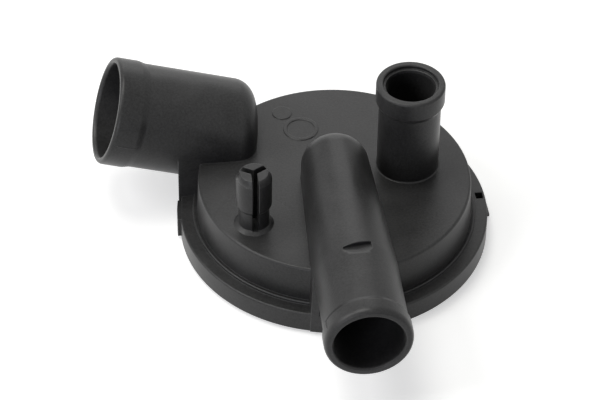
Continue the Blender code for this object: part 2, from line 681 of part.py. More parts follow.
def skirt_block():
    """Thick stretch of the skirt that carries the upright walls of the inlet."""
    inner = flange_radius - SKIRT_WALL / 2
    outer = flange_radius + BLOCK_RISE
    steps = 6
    turns = [BLOCK_START + (BLOCK_END - BLOCK_START) * step / steps for step in range(steps + 1)]
    outline = [(outer * cos(turn), outer * sin(turn)) for turn in turns]
    outline += [(inner * cos(turn), inner * sin(turn)) for turn in reversed(turns)]
    low_z = SKIRT_FOOT_Z + FOOT_SETBACK
    high_z = FLANGE_TOP_Z - FOOT_SETBACK
    return prism(outline, lambda point: low_z, lambda point: high_z)


def top_window(azimuth):
    """Core opening through the flange above a catch, also cutting a little into the skirt."""
    depth = FLANGE_THICKNESS + 2 * CUT_MARGIN
    outer = flange_radius - SKIRT_WALL / 3
    place = around(azimuth, outer - WINDOW_LENGTH / 2, FLANGE_TOP_Z + CUT_MARGIN - depth / 2)
    return box((WINDOW_LENGTH, WINDOW_WIDTH, depth), place)


def side_window(azimuth):
    """Core opening through the skirt above a catch, where a port covers the flange."""
    low = SKIRT_FOOT_Z + HOOK_HEIGHT + WINDOW_SILL
    height = flange_under_z - low - WINDOW_SILL
    inner = skirt_inner_radius - CUT_MARGIN
    outer = flange_radius + BLOCK_RISE + CUT_MARGIN
    place = around(azimuth, (inner + outer) / 2, low + height / 2)
    return box((outer - inner, WINDOW_WIDTH, height), place)


def build_upper_housing(surface):
    """The main moulding. Outer forms are joined, hollowed, given the outlet and then bored."""
    housing = add_piece("upper_housing", chamber_shell(), surface)
    outer_forms = [inlet_shell(), inlet_saddle(), skirt_block(), outlet_web(), nozzle_shell()]
    apply_tools(housing, "UNION", "outer_form", outer_forms)
    apply_tools(housing, "DIFFERENCE", "hollow", [outlet_web_pocket(), chamber_hollow()])
    forms = [outlet_shell(), seat_tube(), stud_shell(), *spring_ribs()]
    forms += [hook_wedge(azimuth) for azimuth in OPEN_HOOK_AZIMUTHS + COVERED_HOOK_AZIMUTHS]
    forms += [hook_lug(azimuth) for azimuth in OPEN_HOOK_AZIMUTHS]
    apply_tools(housing, "UNION", "added_form", forms)
    cuts = [inlet_hollow(), nozzle_hollow(), outlet_hollow(), seat_hollow(), outlet_notch()]
    cuts += [stud_moat(), stud_slots()]
    cuts += [top_window(azimuth) for azimuth in OPEN_HOOK_AZIMUTHS]
    cuts += [side_window(azimuth) for azimuth in COVERED_HOOK_AZIMUTHS]
    apply_tools(housing, "DIFFERENCE", "bore", cuts)


def build_lower_cover(surface):
    """Snap-in cover: a flat floor with a stop ring for the valve, a stepped rim that clamps the
    diaphragm's bead and a vent that keeps its lower side at outside pressure."""
    land_radius = bead_inner_radius - FIT
    inner = chamber_foot_radius - 2 * FIT
    profile = [(0.0, 0.0), (cover_body_radius - COVER_FOOT_BEVEL, 0.0)]
    profile.append((cover_body_radius, COVER_FOOT_BEVEL))
    profile += [(cover_body_radius, cover_rim_under_z), (cover_radius, cover_rim_under_z)]
    profile += [(cover_radius, bead_floor_z), (land_radius, bead_floor_z)]
    profile += [(land_radius, clamp_low_z), (inner, clamp_low_z)]
    profile.append((inner - COVER_WALL_DRAFT, COVER_FLOOR))
    stop_outer = COVER_STOP_RADIUS + COVER_STOP_WIDTH / 2
    stop_inner = COVER_STOP_RADIUS - COVER_STOP_WIDTH / 2
    stop_z = COVER_FLOOR + COVER_STOP_RISE
    profile += [(stop_outer, COVER_FLOOR), (stop_outer, stop_z), (stop_inner, stop_z)]
    profile += [(stop_inner, COVER_FLOOR), (0.0, COVER_FLOOR)]
    cover = add_piece("lower_cover", lathe(profile, DISC_SIDES), surface)
    spokes = []
    rib_height = COVER_STOP_RISE * COVER_RIB_SHARE
    near = COVER_STOP_RADIUS
    far = inner - JOIN_DEPTH
    for index in range(COVER_RIB_COUNT):
        place = around(2 * pi * index / COVER_RIB_COUNT, (near + far) / 2, COVER_FLOOR)
        spokes.append(box((far - near, FLOOR_RIB_WIDTH, 2 * rib_height), place))
    apply_tools(cover, "UNION", "cover_rib", spokes)
    hole = [(0.0, -CUT_MARGIN), (COVER_VENT_RADIUS, -CUT_MARGIN)]
    hole += [(COVER_VENT_RADIUS, COVER_FLOOR + CUT_MARGIN), (0.0, COVER_FLOOR + CUT_MARGIN)]
    place = around(COVER_VENT_AZIMUTH, COVER_VENT_OFFSET, 0.0)
    apply_tools(cover, "DIFFERENCE", "vent", [lathe(hole, SMALL_SIDES, place)])


def build_diaphragm(surface):
    """Rolling rubber diaphragm: clamped bead, half-round roll standing up, flat centre."""
    hole = RIVET_SHANK_RADIUS + FIT
    centre = (roll_outer_radius + roll_inner_radius) / 2
    half = ROLL_WIDTH / 2
    outer = []
    inner = []
    for step in range(11):
        angle = pi * step / 10
        stand = sin(angle)
        outer.append((centre + half * cos(angle), rubber_top_z + ROLL_HEIGHT * stand))
        tight = half - RUBBER * stand
        inner.append((centre + tight * cos(angle), rubber_low_z + ROLL_HEIGHT * stand))
    profile = [(cover_radius, bead_low_z), (cover_radius, bead_top_z)]
    profile += [(bead_inner_radius, bead_top_z), (bead_inner_radius, rubber_top_z)]
    profile += outer
    profile += [(hole, rubber_top_z), (hole, rubber_low_z)]
    profile += inner[::-1]
    profile += [(bead_inner_radius, rubber_low_z), (bead_inner_radius, bead_low_z)]
    add_piece("diaphragm", lathe(profile, DIAPHRAGM_SIDES), surface)


def build_support_plate(surface):
    """Stiff disc under the diaphragm, ribbed below, with a counterbore for the rivet's foot."""
    hole = RIVET_SHANK_RADIUS + FIT
    recess = RIVET_FOOT_RADIUS + FIT
    recess_z = plate_low_z + RIVET_FOOT + FIT
    web_z = plate_low_z + PLATE_RIB_HEIGHT
    hub = recess + PLATE_HUB_WIDTH
    border = plate_radius - PLATE_BORDER
    stop_land = COVER_STOP_RADIUS + COVER_STOP_WIDTH
    profile = [(hole, plate_top_z), (hole, recess_z), (recess, recess_z), (recess, plate_low_z)]
    profile += [(hub, plate_low_z), (hub, web_z)]
    profile += [(stop_land - 2 * COVER_STOP_WIDTH, web_z)]
    profile += [(stop_land - 2 * COVER_STOP_WIDTH, plate_low_z), (stop_land, plate_low_z)]
    profile += [(stop_land, web_z), (border, web_z), (border, plate_low_z)]
    bevel_radius = plate_radius - PLATE_BEVEL
    profile += [(bevel_radius, plate_low_z), (plate_radius, plate_low_z + PLATE_BEVEL)]
    profile += [(plate_radius, plate_top_z - PLATE_BEVEL), (bevel_radius, plate_top_z)]
    plate = add_piece("support_plate", lathe(profile, PLATE_SIDES), surface)
    ribs = []
    near = hub - JOIN_DEPTH
    far = border + JOIN_DEPTH
    height = 3 * PLATE_RIB_HEIGHT / 2
    for index in range(PLATE_RIB_COUNT):
        azimuth = 2 * pi * (index + 0.5) / PLATE_RIB_COUNT
        place = around(azimuth, (near + far) / 2, plate_low_z + height / 2)
        ribs.append(box((far - near, FLOOR_RIB_WIDTH, height), place))
    apply_tools(plate, "UNION", "plate_rib", ribs)
    return plate


def build_centre_rivet(surface):
    """Push rivet through diaphragm and plate: wide head above, barbed foot in the counterbore."""
    shoulder = plate_low_z + RIVET_FOOT
    head_z = rubber_top_z + FIT
    profile = [(0.0, plate_low_z), (RIVET_FOOT_RADIUS - RIVET_BARB, plate_low_z)]
    profile += [(RIVET_FOOT_RADIUS, shoulder - EDGE_BREAK), (RIVET_FOOT_RADIUS, shoulder)]
    profile += [(RIVET_SHANK_RADIUS, shoulder), (RIVET_SHANK_RADIUS, head_z)]
    crown_z = head_z + RIVET_HEAD
    profile += [(RIVET_HEAD_RADIUS, head_z), (RIVET_HEAD_RADIUS, head_z + RIVET_HEAD / 2)]
    profile += [(RIVET_HEAD_RADIUS - 3 * EDGE_BREAK, crown_z - EDGE_BREAK)]
    profile += [(RIVET_HEAD_RADIUS / 2, crown_z), (0.0, crown_z)]
    return add_piece("centre_rivet", lathe(profile, SMALL_SIDES), surface)


def build_spring_ring(surface):
    """Thin ring that spreads the spring's load over the rubber, with a low centring lip."""
    inner = SPRING_MEAN_RADIUS - SPRING_WIRE / 2 - RING_BORDER
    outer = SPRING_MEAN_RADIUS + SPRING_WIRE / 2 + RING_BORDER
    lip = inner + RING_BORDER - 2 * FIT
    profile = [(outer, spring_ring_low_z), (outer, spring_ring_top_z), (lip, spring_ring_top_z)]
    profile += [(lip, spring_ring_top_z + SPRING_WIRE), (inner, spring_ring_top_z + SPRING_WIRE)]
    profile.append((inner, spring_ring_low_z))
    return add_piece("spring_ring", lathe(profile, RING_SIDES), surface)


def build_return_spring(surface):
    """Coil spring with closed ends: the pitch opens between its first and last half turns."""
    closed = SPRING_CLOSED_TURNS
    sides = WIRE_SIDES
    steps = round(SPRING_TURNS * WIRE_STEPS_PER_TURN)
    low = spring_low_z + SPRING_WIRE / 2
    high = SPRING_TOP_Z - SPRING_WIRE / 2
    end_rise = closed * SPRING_CLOSED_PITCH
    shape = bmesh.new()
    rings = []
    for step in range(steps + 1):
        turn = SPRING_TURNS * step / steps
        middle = (turn - closed) / (SPRING_TURNS - 2 * closed)
        if turn <= closed:
            height = low + SPRING_CLOSED_PITCH * turn
        elif turn >= SPRING_TURNS - closed:
            height = high - SPRING_CLOSED_PITCH * (SPRING_TURNS - turn)
        else:
            eased = middle - SPRING_EASE * sin(2 * pi * middle)
            height = low + end_rise + (high - low - 2 * end_rise) * eased
        angle = 2 * pi * turn
        ring = []
        for side in range(sides):
            around_wire = 2 * pi * side / sides
            radius = SPRING_MEAN_RADIUS + SPRING_WIRE / 2 * cos(around_wire)
            level = height + SPRING_WIRE / 2 * sin(around_wire)
            ring.append(shape.verts.new((radius * cos(angle), radius * sin(angle), level)))
        rings.append(ring)
    for first, second in zip(rings, rings[1:]):
        for side in range(sides):
            after = (side + 1) % sides
            shape.faces.new([first[side], first[after], second[after], second[side]])
    shape.faces.new(rings[0][::-1])
    shape.faces.new(rings[-1])
    add_piece("return_spring", outward(shape), surface)


def build_valve():
    for leftover in list(bpy.data.objects):
        bpy.data.objects.remove(leftover)
    charcoal = material("charcoal_glass_filled_nylon", (0.030, 0.030, 0.032), 0.55)
    cover_nylon = material("black_cover_nylon", (0.020, 0.020, 0.021), 0.50)
    rubber = material("fluorosilicone_rubber", (0.012, 0.012, 0.013), 0.75)
    plate_nylon = material("natural_acetal", (0.55, 0.53, 0.48), 0.45)
    steel = material("spring_steel", (0.50, 0.50, 0.50), 0.30, 1.0)
    build_upper_housing(charcoal)
    build_lower_cover(cover_nylon)
    build_diaphragm(rubber)
    build_return_spring(steel)
    carrier = bpy.data.objects.new("valve_lift_axis", None)
    carrier.location = (0.0, 0.0, 0.0)
    bpy.context.scene.collection.objects.link(carrier)
    moving = [build_support_plate(plate_nylon), build_centre_rivet(plate_nylon)]
    moving.append(build_spring_ring(steel))
    for piece in moving:
        piece.parent = carrier


build_valve()
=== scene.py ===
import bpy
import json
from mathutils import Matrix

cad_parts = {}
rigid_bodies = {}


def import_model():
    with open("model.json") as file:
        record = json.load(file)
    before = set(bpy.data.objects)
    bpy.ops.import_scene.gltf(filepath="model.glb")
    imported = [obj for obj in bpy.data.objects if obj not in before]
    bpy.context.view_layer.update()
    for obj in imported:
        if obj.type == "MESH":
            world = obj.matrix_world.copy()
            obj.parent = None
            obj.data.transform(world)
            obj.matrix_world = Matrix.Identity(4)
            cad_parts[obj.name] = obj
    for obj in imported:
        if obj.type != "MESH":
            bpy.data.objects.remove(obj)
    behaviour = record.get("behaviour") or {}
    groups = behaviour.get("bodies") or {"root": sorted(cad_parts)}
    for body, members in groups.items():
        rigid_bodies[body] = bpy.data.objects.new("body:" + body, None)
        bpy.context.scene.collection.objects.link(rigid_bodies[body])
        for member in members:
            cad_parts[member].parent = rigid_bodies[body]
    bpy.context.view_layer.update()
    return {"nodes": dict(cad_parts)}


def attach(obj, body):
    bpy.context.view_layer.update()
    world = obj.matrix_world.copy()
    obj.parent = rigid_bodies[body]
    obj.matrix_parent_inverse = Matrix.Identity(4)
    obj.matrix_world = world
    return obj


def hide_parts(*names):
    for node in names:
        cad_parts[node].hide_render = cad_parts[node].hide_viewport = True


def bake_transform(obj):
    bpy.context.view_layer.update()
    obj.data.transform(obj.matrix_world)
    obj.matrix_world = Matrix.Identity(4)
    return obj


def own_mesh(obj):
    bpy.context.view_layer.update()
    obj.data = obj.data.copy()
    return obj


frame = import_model()

import json

import bmesh
import bpy
import numpy as np
from mathutils import Matrix, Vector

# Upper housing, the form.
# One injection moulding in glass-filled nylon: the round chamber with its ring, flange and skirt,
# the slanted inlet, the long outlet, the upright nozzle and the split snap stud. Every form below
# is a closed surface, and they are joined, hollowed and bored as the mould's cores would do it.
WALL = 0.0020
CHAMBER_RADIUS = 0.0380
CLAMP_INNER_RADIUS = 0.0384
CLAMP_OUTER_RADIUS = 0.0402
DISC_RADIUS = 0.0402
DISC_ROUND = 0.0008
WALL_FOOT_RADIUS = 0.0405
RING_RADIUS = 0.0419
RING_ROUND = 0.0004
FLANGE_RADIUS = 0.0456
FLANGE_ROUND = 0.0005
FOOT_BREAK = 0.0002
CEILING_ROUND = 0.0012
SKIRT_INNER_RADIUS = 0.0436
SKIRT_FOOT_Z = 0.0009
FLANGE_UNDER_Z = 0.0062
FLANGE_TOP_Z = 0.0076
RING_TOP_Z = 0.0085
CEILING_Z = 0.0178
TOP_Z = 0.0200
GRIP_Z = 0.0055
# Tools reach past what they cut by the margin, and forms that would share a face keep the offset.
MARGIN = 0.0010
OFFSET = 0.0001


def turned(profile, sides, start=0.0):
    """Surface of revolution: the profile point (r, z) at the angle v is (r cos v, r sin v, z).
    The angle runs round once from the start, which keeps the facets of two forms apart."""
    radius, height = np.asarray(profile, float).T
    v = start + np.linspace(0.0, 2.0 * np.pi, sides, endpoint=False)
    parts = (radius[:, None] * np.cos(v), radius[:, None] * np.sin(v), height[:, None])
    return np.stack(np.broadcast_arrays(*parts), axis=-1)


def arc(centre, radii, start, end, steps):
    """Points c + (a cos t, b sin t) of a profile, t running evenly from start to end in degrees."""
    t = np.radians(np.linspace(start, end, steps + 1))
    return np.column_stack((centre[0] + radii[0] * np.cos(t), centre[1] + radii[1] * np.sin(t)))


def rounded(radius, height, size, steps):
    """Profile of an outer edge at (radius, height), rounded by the size."""
    return arc((radius - size, height - size), (size, size), 0, 90, steps)


def profile_of(*stretches):
    """One profile from single points and stretches of points, in order."""
    return np.vstack([np.atleast_2d(stretch) for stretch in stretches])


def laid(grid, origin, way):
    """The grid turned so that local Z lies along the way, then moved: p = R q + origin."""
    turn = np.array(Vector(way).normalized().to_track_quat("Z", "Y").to_matrix())
    return grid @ turn.T + np.asarray(origin, float)


def solid(name, grid, looped=False):
    """A closed mesh over a grid of points. Row u joins row u + 1 and each row closes on itself.
    A looped grid also joins its last row to its first. Points that meet on an axis become one."""
    rows, columns = grid.shape[:2]
    here = np.arange(rows * columns).reshape(rows, columns)
    above = np.roll(here, -1, axis=0)
    if not looped:
        here, above = here[:-1], above[:-1]
    quads = np.stack(
        (here, np.roll(here, -1, axis=1), np.roll(above, -1, axis=1), above), axis=-1
    )
    return closed_mesh(name, grid.reshape(-1, 3), quads.reshape(-1, 4).tolist())


def closed_mesh(name, points, faces):
    """A mesh of these faces with meeting points merged and every face looking outwards."""
    mesh = bpy.data.meshes.new(name)
    mesh.from_pydata(np.asarray(points).tolist(), [], faces)
    shape = bmesh.new()
    shape.from_mesh(mesh)
    bmesh.ops.remove_doubles(shape, verts=shape.verts, dist=1e-7)
    bmesh.ops.dissolve_degenerate(shape, dist=1e-7, edges=shape.edges)
    bmesh.ops.recalc_face_normals(shape, faces=shape.faces)
    if shape.calc_volume(signed=True) < 0.0:
        bmesh.ops.reverse_faces(shape, faces=shape.faces)
    shape.to_mesh(mesh)
    shape.free()
    return mesh


def lofted(name, outlines):
    """A closed form through outlines of equal count: faces join the points i and i + 1 of two
    neighbouring outlines, and the first and the last outline are its caps."""
    outlines = np.asarray(outlines, float)
    steps, count = len(outlines) - 1, outlines.shape[1]
    here = np.arange(steps * count).reshape(steps, count)
    beside = np.roll(here, -1, axis=1)
    walls = np.stack((here, beside, beside + count, here + count), axis=-1)
    cap = np.arange(count)
    caps = [cap[::-1].tolist(), (cap + steps * count).tolist()]
    return closed_mesh(name, outlines.reshape(-1, 3), walls.reshape(-1, 4).tolist() + caps)


def upright(name, outline, low, high):
    """A prism over a plan outline: the points (x, y, low) and (x, y, high), where low and high
    may each be one level or one level for every point of the outline."""
    outline = np.asarray(outline, float)
    levels = [np.broadcast_to(level, len(outline)) for level in (low, high)]
    return lofted(name, [np.column_stack((outline, level)) for level in levels])


def turned_round(mesh, azimuth):
    """The mesh turned about the chamber's axis."""
    mesh.transform(Matrix.Rotation(azimuth, 4, "Z"))
    return mesh


def tidied(mesh):
    """The mesh with points closer than 3 micrometres merged and collapsed faces removed."""
    shape = bmesh.new()
    shape.from_mesh(mesh)
    bmesh.ops.remove_doubles(shape, verts=shape.verts, dist=3e-6)
    bmesh.ops.dissolve_degenerate(shape, dist=1e-6, edges=shape.edges)
    shape.to_mesh(mesh)
    shape.free()
    return mesh


def placed(name, data):
    """A new object of the scene, at the origin, that shows the data."""
    made = bpy.data.objects.new(name, data)
    bpy.context.scene.collection.objects.link(made)
    return made


def combined(name, first, stages):
    """The first mesh after each stage, a pair of "UNION" or "DIFFERENCE" and the meshes it uses."""
    body = placed(name, first)
    for operation, meshes in stages:
        group = bpy.data.collections.new(f"{name}_tools")
        bpy.context.scene.collection.children.link(group)
        for mesh in meshes:
            group.objects.link(bpy.data.objects.new(mesh.name, mesh))
        stage = body.modifiers.new(operation.lower(), "BOOLEAN")
        stage.operation = operation
        stage.solver = "EXACT"
        stage.operand_type = "COLLECTION"
        stage.collection = group
        graph = bpy.context.evaluated_depsgraph_get()
        result = bpy.data.meshes.new_from_object(body.evaluated_get(graph))
        body.modifiers.clear()
        body.data = tidied(result)
        for helper in list(group.objects):
            bpy.data.objects.remove(helper)
        bpy.data.collections.remove(group)
    return body


def smoothed(piece, angle=32.0):
    """Smooth shading that keeps real edges sharp and broad faces flat."""
    piece.data.shade_smooth()
    piece.data.set_sharp_from_angle(angle=np.radians(angle))
    weighted = piece.modifiers.new("flat_faces", "WEIGHTED_NORMAL")
    weighted.keep_sharp = True
    weighted.weight = 80


chamber_shell = solid(
    "chamber_shell",
    turned(
        profile_of(
            (0.0, SKIRT_FOOT_Z),
            (FLANGE_RADIUS - FOOT_BREAK, SKIRT_FOOT_Z),
            (FLANGE_RADIUS, SKIRT_FOOT_Z + FOOT_BREAK),
            rounded(FLANGE_RADIUS, FLANGE_TOP_Z, FLANGE_ROUND, 5),
            (RING_RADIUS, FLANGE_TOP_Z),
            rounded(RING_RADIUS, RING_TOP_Z, RING_ROUND, 5),
            (WALL_FOOT_RADIUS + OFFSET, RING_TOP_Z - 2 * OFFSET),
            rounded(DISC_RADIUS, TOP_Z, DISC_ROUND, 8),
            (0.0, TOP_Z),
        ),
        240,
    ),
)
chamber_hollow = solid(
    "chamber_hollow",
    turned(
        profile_of(
            (0.0, SKIRT_FOOT_Z - MARGIN),
            (SKIRT_INNER_RADIUS, SKIRT_FOOT_Z - MARGIN),
            (SKIRT_INNER_RADIUS, FLANGE_UNDER_Z),
            (CLAMP_OUTER_RADIUS, FLANGE_UNDER_Z),
            (CLAMP_OUTER_RADIUS, GRIP_Z),
            (CLAMP_INNER_RADIUS, GRIP_Z),
            (CLAMP_INNER_RADIUS, FLANGE_UNDER_Z),
            rounded(CHAMBER_RADIUS, CEILING_Z, CEILING_ROUND, 4),
            (0.0, CEILING_Z),
        ),
        240,
        0.0131,
    ),
)

# The inlet: a wide tube that rises away from the chamber, closed and rounded at its inner end,
# with upright walls below its widest line and a thicker block where they meet the skirt.
INLET_TURN = np.radians(8.0)
INLET_RISE = np.radians(17.3)
INLET_RADIUS = 0.0155
INLET_LENGTH = 0.0354
INLET_INNER = 0.0100
INLET_BORE = 0.0139
INLET_ROUND = 0.0060
INLET_ENTRY = 0.0311
INLET_OFFSET = 0.0257
INLET_LEAN = 0.16
inlet_way = np.array((-np.cos(INLET_TURN), -np.sin(INLET_TURN), 0.0))
inlet_side = np.array((-np.sin(INLET_TURN), np.cos(INLET_TURN), 0.0))
inlet_axis = inlet_way * np.cos(INLET_RISE) + np.array((0.0, 0.0, np.sin(INLET_RISE)))
inlet_entry = inlet_way * INLET_ENTRY + inlet_side * INLET_OFFSET + np.array((0.0, 0.0, TOP_Z))


def hose_end(radius, length, rise, bead_length, lip_across, lip_along):
    """Profile of a hose port's free end: a ramp up to the bead, the bead, and an elliptical lip
    (r - a + a cos t, z - b + b sin t) that turns in to the flat end face."""
    bead = radius + rise
    start = length - bead_length
    t = np.linspace(0.0, 1.0, 7)
    ease = 0.7 * t + 0.3 * t * t * (3.0 - 2.0 * t)
    ramp = np.column_stack((radius + rise * ease, start + 0.26 * bead_length * t))
    lip = arc((bead - lip_across, length - lip_along), (lip_across, lip_along), 0, 90, 8)
    return profile_of(ramp, lip)


def mouth(bore, length, depth):
    """Profile of the tool for a bore's open end, which spreads by 0.2 mm and then by 0.6 mm."""
    return [
        (bore, length - depth),
        (bore + 0.0002, length - 0.0004),
        (bore + 0.0006, length),
        (bore + 0.0006, length + MARGIN),
        (0.0, length + MARGIN),
    ]


def inlet_form(profile, sides, start=0.0):
    """A turned form on the inlet's axis. Below its entry its end leans: z becomes z + 0.16 y."""
    grid = turned(profile, sides, start)
    lean = np.where(grid[..., 2] < 0.0, INLET_LEAN * grid[..., 1], 0.0)
    grid[..., 2] += lean
    return laid(grid, inlet_entry, inlet_axis)


inlet_profile = hose_end(
    INLET_RADIUS,
    INLET_LENGTH,
    rise=0.0005,
    bead_length=0.0094,
    lip_across=0.0009,
    lip_along=0.0012,
)
inlet_shell = solid(
    "inlet_shell",
    inlet_form(
        profile_of(
            (0.0, -INLET_INNER),
            arc(
                (INLET_RADIUS - INLET_ROUND, INLET_ROUND - INLET_INNER),
                (INLET_ROUND, INLET_ROUND),
                -90,
                0,
                12,
            ),
            inlet_profile,
            (0.0, INLET_LENGTH),
        ),
        144,
    ),
)
bore_round = INLET_ROUND - (INLET_RADIUS - INLET_BORE)
inlet_hollow = solid(
    "inlet_hollow",
    inlet_form(
        profile_of(
            (0.0, INLET_RADIUS - INLET_BORE - INLET_INNER),
            arc((INLET_BORE - bore_round, INLET_ROUND - INLET_INNER), (bore_round,) * 2, -90, 0, 8),
            mouth(INLET_BORE, INLET_LENGTH, 0.0012),
        ),
        120,
        0.0044,
    ),
)
square = np.array([(-1, -1), (1, -1), (1, 1), (-1, 1)])
below_flange = upright("below_flange", 0.08 * square, -0.02, FLANGE_TOP_Z)
inlet_core = combined("inlet_core", inlet_hollow, [("DIFFERENCE", [below_flange])])
inlet_hollow = inlet_core.data
bpy.data.objects.remove(inlet_core)

SADDLE_RADIUS = FLANGE_RADIUS + 0.0008
near, far = INLET_OFFSET - INLET_RADIUS, INLET_OFFSET + INLET_RADIUS
saddle_round = INLET_ROUND - OFFSET
saddle_end = INLET_ENTRY + saddle_round - (INLET_INNER - OFFSET) * np.cos(INLET_RISE)
inner_end = profile_of(
    arc((saddle_end, far - INLET_ROUND), (saddle_round,) * 2, 90, 180, 8),
    arc((saddle_end, near + INLET_ROUND), (saddle_round,) * 2, 180, 270, 8),
)
inner_end = inner_end[np.hypot(*inner_end.T) < SADDLE_RADIUS - 0.0005]
first_angle = np.arcsin((near + OFFSET) / SADDLE_RADIUS)
last_angle = np.arctan2(inner_end[0, 1], inner_end[0, 0])
rim_angles = np.linspace(first_angle, last_angle, 40)
outer_rim = SADDLE_RADIUS * np.column_stack((np.cos(rim_angles), np.sin(rim_angles)))
along, across = profile_of(inner_end, outer_rim).T
plan = along[:, None] * inlet_way[:2] + across[:, None] * inlet_side[:2]
axis_level = TOP_Z + (along - INLET_ENTRY) * np.tan(INLET_RISE)
inlet_saddle = upright("inlet_saddle", plan, SKIRT_FOOT_Z + OFFSET, axis_level)


def band(inner, outer, start, end, steps):
    """Plan outline of a stretch of a ring: out along the radius outer, back along inner."""
    turn = np.radians(np.linspace(start, end, steps + 1))
    there = outer * np.column_stack((np.cos(turn), np.sin(turn)))
    back = inner * np.column_stack((np.cos(turn[::-1]), np.sin(turn[::-1])))
    return np.vstack((there, back))


BLOCK_PROUD = 0.00095
skirt_block = upright(
    "skirt_block",
    band(FLANGE_RADIUS - MARGIN, FLANGE_RADIUS + BLOCK_PROUD, 177.0, 187.5, 12),
    SKIRT_FOOT_Z + OFFSET,
    FLANGE_TOP_Z - OFFSET,
)

# The outlet: a tube lying on the top plate from a round end over the valve seat out past the
# flange, on two upright walls with a core-out between them at the front, and the seat boss below.
OUTLET_TURN = np.radians(7.5)
OUTLET_RADIUS = 0.0120
OUTLET_BORE = 0.0099
OUTLET_LENGTH = 0.0742
DOME_RADIUS = 0.0100
DOME_DEPTH = 0.0088
DOME_BORE = 0.0083
DOME_BORE_DEPTH = 0.0071
OUTLET_AXIS_Z = TOP_Z + 0.0046
SEAT_Z = 0.00935
SEAT_BORE = 0.0075
SEAT_WALL = 0.0016
outlet_way = np.array((np.sin(OUTLET_TURN), -np.cos(OUTLET_TURN), 0.0))
outlet_side = np.array((np.cos(OUTLET_TURN), np.sin(OUTLET_TURN), 0.0))
outlet_origin = (0.0, 0.0, OUTLET_AXIS_Z)
outlet_profile = hose_end(
    OUTLET_RADIUS,
    OUTLET_LENGTH,
    rise=0.0006,
    bead_length=0.0068,
    lip_across=0.0011,
    lip_along=0.0021,
)
# The body widens up to the flange's rim, and close rings beyond keep the facets short there.
body_rings = [(OUTLET_RADIUS, along) for along in (FLANGE_RADIUS, 0.0472, 0.0490, 0.0504, 0.0522)]
outlet_shell = solid(
    "outlet_shell",
    laid(
        turned(
            profile_of(
                (0.0, -DOME_DEPTH),
                arc((0.0, 0.0), (DOME_RADIUS, DOME_DEPTH), -84, 0, 14),
                body_rings,
                outlet_profile,
                (0.0, OUTLET_LENGTH),
            ),
            128,
        ),
        outlet_origin,
        outlet_way,
    ),
)
outlet_hollow = solid(
    "outlet_hollow",
    laid(
        turned(
            profile_of(
                (0.0, -DOME_BORE_DEPTH),
                arc((0.0, 0.0), (DOME_BORE, DOME_BORE_DEPTH), -80, 0, 8),
                mouth(OUTLET_BORE, OUTLET_LENGTH, 0.0010),
            ),
            112,
            0.0035,
        ),
        outlet_origin,
        outlet_way,
    ),
)
WEB_END = FLANGE_RADIUS + 0.0003
WEB_FLARE = 0.0005
WEB_INSET = 0.00006


def web_plan(flare):
    """Plan of the walls: a half ellipse round the inner end, then the two ends on the flange."""
    t = np.radians(np.linspace(-90.0, 90.0, 25))[:, None]
    inner = outlet_side * np.sin(t) * (DOME_RADIUS + flare)
    inner = inner - outlet_way * np.cos(t) * (DOME_DEPTH + flare)
    limit = np.arcsin((OUTLET_RADIUS + flare) / WEB_END)
    turn = np.linspace(limit, -limit, 13)[:, None]
    return np.vstack((inner, (outlet_way * np.cos(turn) + outlet_side * np.sin(turn)) * WEB_END))


low_plan, high_plan = web_plan(WEB_FLARE), web_plan(-WEB_INSET)
low_plan[:, 2] = SKIRT_FOOT_Z + OFFSET
high_plan[:, 2] = OUTLET_AXIS_Z
outlet_web = lofted("outlet_web", (low_plan, high_plan))


def block(name, low, high, azimuth=0.0):
    """A box between two corners, turned about the chamber's axis."""
    outline = [(low[0], low[1]), (high[0], low[1]), (high[0], high[1]), (low[0], high[1])]
    return turned_round(upright(name, outline, low[2], high[2]), azimuth)


pocket_half = OUTLET_RADIUS - WALL
web_pocket = block(
    "web_pocket",
    (-pocket_half, -FLANGE_RADIUS - 2 * MARGIN, FLANGE_TOP_Z),
    (pocket_half, -RING_RADIUS, OUTLET_AXIS_Z + MARGIN),
    OUTLET_TURN,
)
seat_tube = solid(
    "seat_tube",
    turned(
        profile_of(
            (0.0, SEAT_Z),
            (SEAT_BORE + 0.0005, SEAT_Z),
            (SEAT_BORE + 0.0007, SEAT_Z + 0.0002),
            (SEAT_BORE + SEAT_WALL, SEAT_Z + SEAT_WALL),
            (SEAT_BORE + SEAT_WALL, TOP_Z - MARGIN),
            (0.0, TOP_Z - MARGIN),
        ),
        96,
    ),
)
seat_hollow = solid(
    "seat_hollow",
    turned(
        [
            (0.0, SEAT_Z - MARGIN),
            (SEAT_BORE, SEAT_Z - MARGIN),
            (SEAT_BORE, OUTLET_AXIS_Z),
            (0.0, OUTLET_AXIS_Z),
        ],
        96,
        0.0160,
    ),
)
RIB_HALF = 0.0007
RIB_REACH = 0.01325
RIB_FOOT_Z = 0.0140
spring_ribs = [
    block(
        f"spring_rib_{index}",
        (SEAT_BORE + 0.0012, -RIB_HALF, RIB_FOOT_Z),
        (RIB_REACH, RIB_HALF, CEILING_Z + MARGIN),
        OUTLET_TURN + index * np.pi / 4,
    )
    for index in range(8)
]

